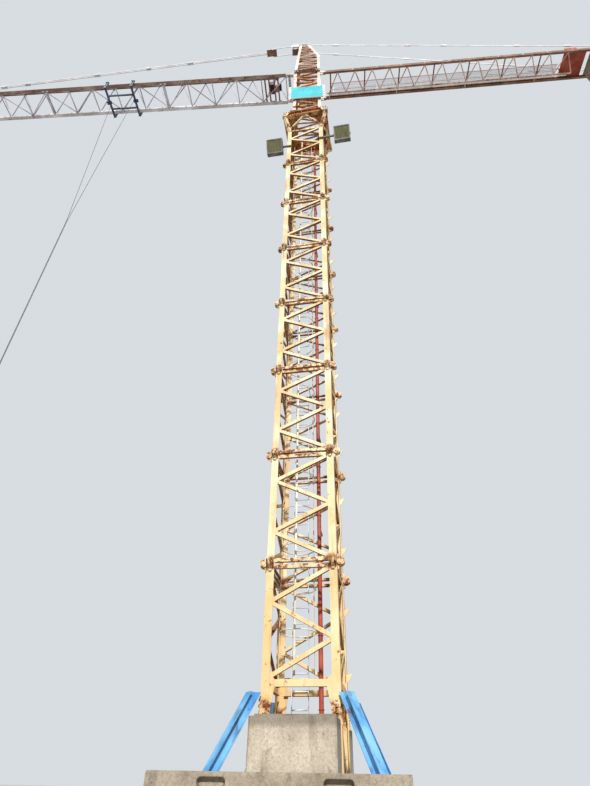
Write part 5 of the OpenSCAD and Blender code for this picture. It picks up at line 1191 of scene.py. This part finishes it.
rear = {"pipeY": 0.38, "pipeDown": 0.045, "pipe": 0.024, "pipes": 10, "pipeEvery": 1.1, "pipeLong": 1.04,
        "clipAt": 0.45, "clipLong": 0.03, "clipWide": 0.07, "clipFrom": 0.024, "clipTo": 0.016,
        "start": 1.05, "slatFrom": 1.06, "slatTo": 11.55, "slatEvery": 0.045, "slatLong": 0.54,
        "slatWide": 0.008, "slatHigh": 0.022, "walkLong": 10.55, "walkWide": 0.56, "walkIn": 0.06,
        "rail": 0.008, "railLow": 0.03, "railHigh": 0.09, "middleHigh": 0.05, "middleY": 0.276,
        "bearers": 7, "bearerEvery": 1.6, "bearerWide": 0.06, "bearer": 0.006, "girder": 0.18,
        "bed": 0.014, "drum": 0.46, "drumIn": 0.03, "drumLong": 0.82, "drumTop": 0.56, "hoistRope": 0.02,
        "bedBoltX": (0.04, 0.96), "bedBoltY": (-0.5, -0.3, 0.3, 0.5), "weights": 3, "weightThick": 0.33,
        "weightGap": 0.01, "weightIn": 0.24, "eyeY": 0.36, "eyeUp": 0.12, "eye": 0.06, "eyeBar": 0.02,
        "stiffeners": 12, "stiffEvery": 1.1, "stiff": 0.01, "stiffOut": 0.033, "stiffIn": 0.04,
        "stiffLow": 0.011, "stiffHigh": 0.169, "boltOut": 0.045, "boltUp": (0.05, 0.13), "bolt": 0.034,
        "boltHigh": 0.018, "bedIn": 0.2, "motorX": 0.85, "motorY": -0.02, "motorUp": 0.44, "motor": 0.13,
        "motorLong": 0.5, "motorFins": 20}
winch = {"drum": 0.11, "drumLong": 0.41, "rope": 0.012, "drumUp": 0.18, "share": 0.31, "out": 0.12,
         "wide": 0.52, "bearers": (0, 0.19, 0.44, 0.62), "bearerLong": 0.07, "plate": 0.008,
         "flange": 0.007, "flangeHigh": 0.05, "cheekY": 0.2, "cheek": 0.016, "cheekHalf": 0.13,
         "cheekHigh": 0.3, "axleUp": 0.194, "coreDrum": 0.1, "capOut": 0.205,
         "padX": 0.1, "padOut": 0.004, "padLow": 0.05, "padHigh": 0.06, "boxFrom": 0.5, "boxTo": 0.66,
         "boxY": 0.14, "boxHigh": 0.19, "boxTaper": 0.012, "motorX": 0.37, "motorUp": 0.245, "motor": 0.07,
         "motorLong": 0.26, "motorFins": 16,
         "cap": [(0.02, 0), (0.13, 0), (0.13, 0.012), (0.05, 0.03), (0.02, 0.03)]}
# shares of a motor's radius and length, and of a drum's radius; fin and margin are in metres
motor = {"core": 0.86, "coverLong": 0.66, "coverEnd": 0.9, "finReach": 0.44, "finAt": 0.9, "fin": 0.006,
         "finDeep": 0.22}
drum = {"inside": 0.9, "margin": 0.06}
deck = jibZ + rear["girder"]


def wound(work, centre, radius, long, thick):
    # rope lying turn by turn on a drum along Y
    turns, inside = int((long - drum["margin"]) / thick), radius * drum["inside"]
    profile = [(inside, -turns * thick / 2)]
    for i in range(turns):
        y = (i - turns / 2) * thick
        profile += [(radius, y), (radius + thick / 2, y + thick / 2)]
    profile += [(radius, turns * thick / 2), (inside, turns * thick / 2)]
    work.lathe(centre, yAxis, profile, 20)


def addMotor(name, look, place, centre, radius, long, fins):
    # a finned motor with its fan cover, lying along Y
    work, (x, y, z) = Steelwork(place), centre
    cover = (x, y + long / 2, z)
    work.round((x, y - long / 2, z), cover, radius * motor["core"], 18)
    work.round(cover, (x, y + long * motor["coverLong"], z), radius, 18, radius * motor["coverEnd"])
    reach = Vector((0, long * motor["finReach"], 0))
    for angle in around(fins):
        outward = Vector((math.cos(angle), 0, math.sin(angle)))
        middle = Vector(centre) + outward * radius * motor["finAt"]
        work.beam(middle - reach, middle + reach, motor["fin"], radius * motor["finDeep"], outward)
    work.finish(name, look, "upperworks", "grey_paint")


def addWalkway():
    walk, pipe, half = Steelwork(counterFrame), Steelwork(counterFrame), jib["wide"] / 2
    y = half + jib["chord"] / 2 - rear["walkWide"] / 2 - rear["walkIn"]
    slatZ = deck + rear["railLow"] + rear["slatHigh"] / 2
    spots = [spot(counterFrame, (x, y, slatZ), (1, 0, 0), counterFrame)
             for x in every(rear["slatFrom"], rear["slatTo"], rear["slatEvery"])]
    start, edge, web = rear["start"], y - rear["walkWide"] / 2, rear["bearer"] / 2
    for k in range(rear["bearers"]):
        x, wide = start + rear["bearerEvery"] * k, rear["bearerWide"]
        walk.block((x, -half, deck), (x + wide, half, deck + rear["bearer"]))
        walk.block((x + wide / 2 - web, -half, deck), (x + wide / 2 + web, half, deck + rear["railLow"]))
    low, end = deck + rear["railLow"], start + rear["walkLong"]
    for k, high in enumerate((rear["railHigh"], rear["middleHigh"], rear["railHigh"])):
        railY = edge + k * rear["middleY"]
        walk.block((start, railY, low), (end, railY + rear["rail"], deck + high))
    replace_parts(walk.finish("walkwayFrame", "girder", "upperworks", "rusty_paint"), "cjib_walkway")
    pipeZ, clip = jibZ - rear["pipeDown"], rear["clipWide"] / 2
    for k in range(rear["pipes"]):
        x = start + k * rear["pipeEvery"]
        pipe.round((x, rear["pipeY"], pipeZ), (x + rear["pipeLong"], rear["pipeY"], pipeZ), rear["pipe"], 10)
        pipe.block((x + rear["clipAt"], rear["pipeY"] - clip, jibZ - rear["clipFrom"]),
                   (x + rear["clipAt"] + rear["clipLong"], rear["pipeY"] + clip, jibZ - rear["clipTo"]))
    pipe.finish("cableConduit", "white", "upperworks", "grey_paint")
    addSlats("walkwayGrating", spots, rear["slatLong"], rear["slatHigh"], rear["slatWide"], "girder",
             "upperworks", "rusty_paint")


def addHoist():
    ropes, bolts = Steelwork(counterFrame), []
    out, bed, radius = counter["winchOut"], deck + rear["bed"], rear["drum"] / 2
    middle = (out + rear["bedIn"] + radius + rear["drumIn"], 0,
              bed + rear["drumTop"] - radius + rear["hoistRope"])
    wound(ropes, middle, radius - rear["drumIn"], rear["drumLong"], rear["hoistRope"])
    ropes.finish("hoistWinchRope", "rope", "upperworks", "rope_steel")
    centre = (out + rear["motorX"], rear["motorY"], bed + rear["motorUp"])
    addMotor("hoistMotor", "pale", counterFrame, centre, rear["motor"], rear["motorLong"], rear["motorFins"])
    for x in rear["bedBoltX"]:
        bolts += [spot(counterFrame, (out + x, y, bed), zUp) for y in rear["bedBoltY"]]
    eyes = []
    for i in range(rear["weights"]):
        x = rearEnd - rear["weightIn"] - (i + 0.5) * (rear["weightThick"] + rear["weightGap"])
        for y in (-rear["eyeY"], rear["eyeY"]):
            eyes.append(spot(counterFrame, (x, y, deck + rear["eyeUp"]), (1, 0, 0), counterFrame))
    addHoops("weightLiftingEyes", eyes, rear["eye"], rear["eyeBar"], "oxide", "upperworks", "red_paint")
    girders, half, rib = Steelwork(counterFrame), jib["wide"] / 2, rear["stiff"] / 2
    for k in range(1, rear["stiffeners"] + 1):
        x = counter["root"] + k * rear["stiffEvery"]
        for s in (-1, 1):
            girders.onSide(s, (x - rib, half - rear["stiffIn"], jibZ + rear["stiffLow"]),
                           (x + rib, half + rear["stiffOut"], jibZ + rear["stiffHigh"]))
            bolts += [spot(counterFrame, (x, s * (half + rear["boltOut"]), jibZ + dz), (0, s, 0))
                      for dz in rear["boltUp"]]
    girders.finish("girderStiffeners", "girder", "upperworks", "rusty_paint")
    addBolts("counterJibBolts", bolts, rear["bolt"], rear["boltHigh"], "pale", "upperworks", "rusty_paint")


def addTrolleyWinch():
    low = jibZ + jib["floorUp"] + jib["laceThick"]
    left = -jib["root"] - jib["winchIn"] - jib["winchLong"]
    middle, axle = left + jib["winchLong"] * winch["share"] + winch["out"], low + winch["axleUp"]
    turns, bed = Steelwork(jibFrame), Steelwork(jibFrame)
    wound(turns, (middle, 0, low + rear["bed"] + winch["drumUp"]), winch["drum"], winch["drumLong"],
          winch["rope"])
    turns.finish("trolleyWinchRope", "rope", "upperworks", "rope_steel")
    for dx in winch["bearers"]:
        x = left + dx
        bed.block((x, -winch["wide"], low), (x + winch["bearerLong"], winch["wide"], low + winch["plate"]))
        bed.block((x, -winch["wide"], low), (x + winch["flange"], winch["wide"], low + winch["flangeHigh"]))
    cheek, outer = winch["cheekY"], winch["cheekY"] + winch["cheek"]
    for s in (-1, 1):
        bed.onSide(s, (middle - winch["cheekHalf"], cheek, low),
                   (middle + winch["cheekHalf"], outer, low + winch["cheekHigh"]))
        bed.onSide(s, (middle - winch["padX"], cheek - winch["padOut"], low + winch["padLow"]),
                   (middle + winch["padX"], outer + winch["padOut"], low + winch["padHigh"]))
        bed.lathe((middle, s * winch["capOut"], axle), (0, s, 0), winch["cap"], 24)
    bed.round((middle, -cheek, axle), (middle, cheek, axle), winch["coreDrum"], 20)
    bed.block((left + winch["boxFrom"], -winch["boxY"], low),
              (left + winch["boxTo"], winch["boxY"], low + winch["boxHigh"]), winch["boxTaper"])
    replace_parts(bed.finish("trolleyWinch", "girder", "upperworks", "rusty_paint"), "jib_winch")
    centre = (middle + winch["motorX"], 0, low + rear["bed"] + winch["motorUp"])
    addMotor("trolleyMotor", "navy", jibFrame, centre, winch["motor"], winch["motorLong"], winch["motorFins"])


addWalkway()
addHoist()
addTrolleyWinch()
print("counter-jib and winches")


# base: slot rims in the slabs, bolts at the legs and struts, stiffeners along the cross beams

base = {"slabIn": 2.08, "slabDeep": 0.66, "slabTop": 1.69, "slotLong": 0.37, "slotHigh": 0.095,
        "slotDown": 0.11, "slotGap": 1.65, "rim": 0.008, "rimOut": 0.009, "rimIn": 0.004,
        "beamWide": 0.26, "beamTop": 1.0, "beamLow": 0.62, "flange": 0.024, "web": 0.018, "rib": 0.014,
        "ribIn": 0.012, "ribs": (1.15, 1.75, 2.12, 2.4, 2.9, 3.5, 4.12, 4.38), "strutFoot": 2.26,
        "plate": 0.02, "strutX": 0.16, "strutY": 0.09, "legX": (0.83, 1.08), "legY": 0.06,
        "legPlate": 0.03, "bolt": 0.05, "boltHigh": 0.028}


def stadium(long, high, rim, steps=8):
    # a round-ended outline, widened by rim
    radius, reach, points = high / 2 + rim, (long - high) / 2, []
    for s in (1, -1):
        for k in range(steps + 1):
            angle = math.pi * (k / steps - 0.5)
            points.append((s * (reach + radius * math.cos(angle)), s * radius * math.sin(angle)))
    return points


def addSlotRims():
    rims = Steelwork()
    outer, inner = (stadium(base["slotLong"], base["slotHigh"], rim) for rim in (base["rim"], 0.0))
    for turn in (0, 180):
        for s in (-1, 1):
            rims.place = spin(turn, "Z") @ shift(s * base["slotGap"] / 2, -base["slabIn"] - base["slabDeep"],
                                                 base["slabTop"] - base["slotDown"])
            for i, corner in enumerate(outer):
                j = (i + 1) % len(outer)
                quad = [corner, outer[j], inner[j], inner[i]]
                rims.solid(*[[(px, y, pz) for px, pz in quad] for y in (-base["rimOut"], base["rimIn"])])
    rims.finish("slabSlotRims", "rim", "tower", "concrete")


def addBase():
    ribs, bolts = Steelwork(), []
    half, web, rib, top = base["beamWide"] / 2, base["web"] / 2, base["rib"] / 2, base["beamTop"]
    for turn in (45, 135, 225, 315):
        ribs.place = spin(turn, "Z")
        for u in base["ribs"]:
            for s in (-1, 1):
                ribs.onSide(s, (u - rib, web, base["beamLow"] + base["flange"]),
                            (u + rib, half - base["ribIn"], top - base["flange"]))
        struts = (base["strutFoot"] - base["strutX"], base["strutFoot"] + base["strutX"])
        rows = [(x, base["strutY"], base["plate"]) for x in struts]
        rows += [(x, base["legY"], base["legPlate"]) for x in base["legX"]]
        bolts += [spot(ribs.place, (x, y, top + lift), zUp) for x, wide, lift in rows for y in (-wide, wide)]
    ribs.finish("crossBeamRibs", "blue", "tower", "blue_paint")
    addBolts("baseBolts", bolts, base["bolt"], base["boltHigh"], "pale", "tower", "blue_paint")


addSlotRims()
addBase()
print("base")


# the camera, fitted to the photograph: a person's eye in front of the mast, looking up

view = {"place": (1.628, -10.735, 1.6), "lens": 23.656, "sensor": 36.0, "far": 500.0, "up": 36.94,
        "turn": 10.32, "roll": 1.157}


def addCamera():
    camera = bpy.data.objects.new("camera", bpy.data.cameras.new("camera"))
    bpy.context.scene.collection.objects.link(camera)
    aimed = spin(view["turn"], "Z") @ spin(90 + view["up"], "X") @ spin(view["roll"], "Z")
    camera.matrix_world = shift(*view["place"]) @ aimed
    camera.data.lens = view["lens"]
    camera.data.sensor_width = view["sensor"]
    camera.data.clip_end = view["far"]
    bpy.context.scene.camera = camera


# the studio: a pale floor, a soft sun and a pale sky

studio = {"floorSize": 240.0, "floorColour": "c6c4bf", "skyColour": "e8edf2", "skyLight": 0.42,
          "skySeen": 0.85, "sunPower": 4.3, "sunSize": 3.0, "sunAim": (-0.15, 0.82, -0.55)}


def addStudio():
    bpy.ops.mesh.primitive_grid_add(x_subdivisions=2, y_subdivisions=2, size=studio["floorSize"])
    floor = bpy.context.object
    floor.name = "floor"
    s = Shader("paleFloor")
    s.paint({"Base Color": hexColour(studio["floorColour"]), "Roughness": 0.9})
    floor.data.materials.append(s.material)
    sun = bpy.data.objects.new("sun", bpy.data.lights.new("sun", "SUN"))
    bpy.context.scene.collection.objects.link(sun)
    sun.data.energy = studio["sunPower"]
    sun.data.angle = math.radians(studio["sunSize"])
    sun.rotation_mode = "QUATERNION"
    sun.rotation_quaternion = Vector(studio["sunAim"]).to_track_quat("-Z", "Y")
    world = bpy.data.worlds.new("sky")
    world.use_nodes = True
    bpy.context.scene.world = world
    tree = world.node_tree
    background = tree.nodes["Background"]
    background.inputs["Color"].default_value = hexColour(studio["skyColour"])
    seen = tree.nodes.new("ShaderNodeLightPath").outputs["Is Camera Ray"]
    strength = tree.nodes.new("ShaderNodeMapRange")
    strength.inputs["To Min"].default_value = studio["skyLight"]
    strength.inputs["To Max"].default_value = studio["skySeen"]
    tree.links.new(seen, strength.inputs["Value"])
    tree.links.new(strength.outputs["Result"], background.inputs["Strength"])
    bpy.context.scene.view_settings.view_transform = "Standard"


addCamera()
addStudio()
print("camera and studio ready")
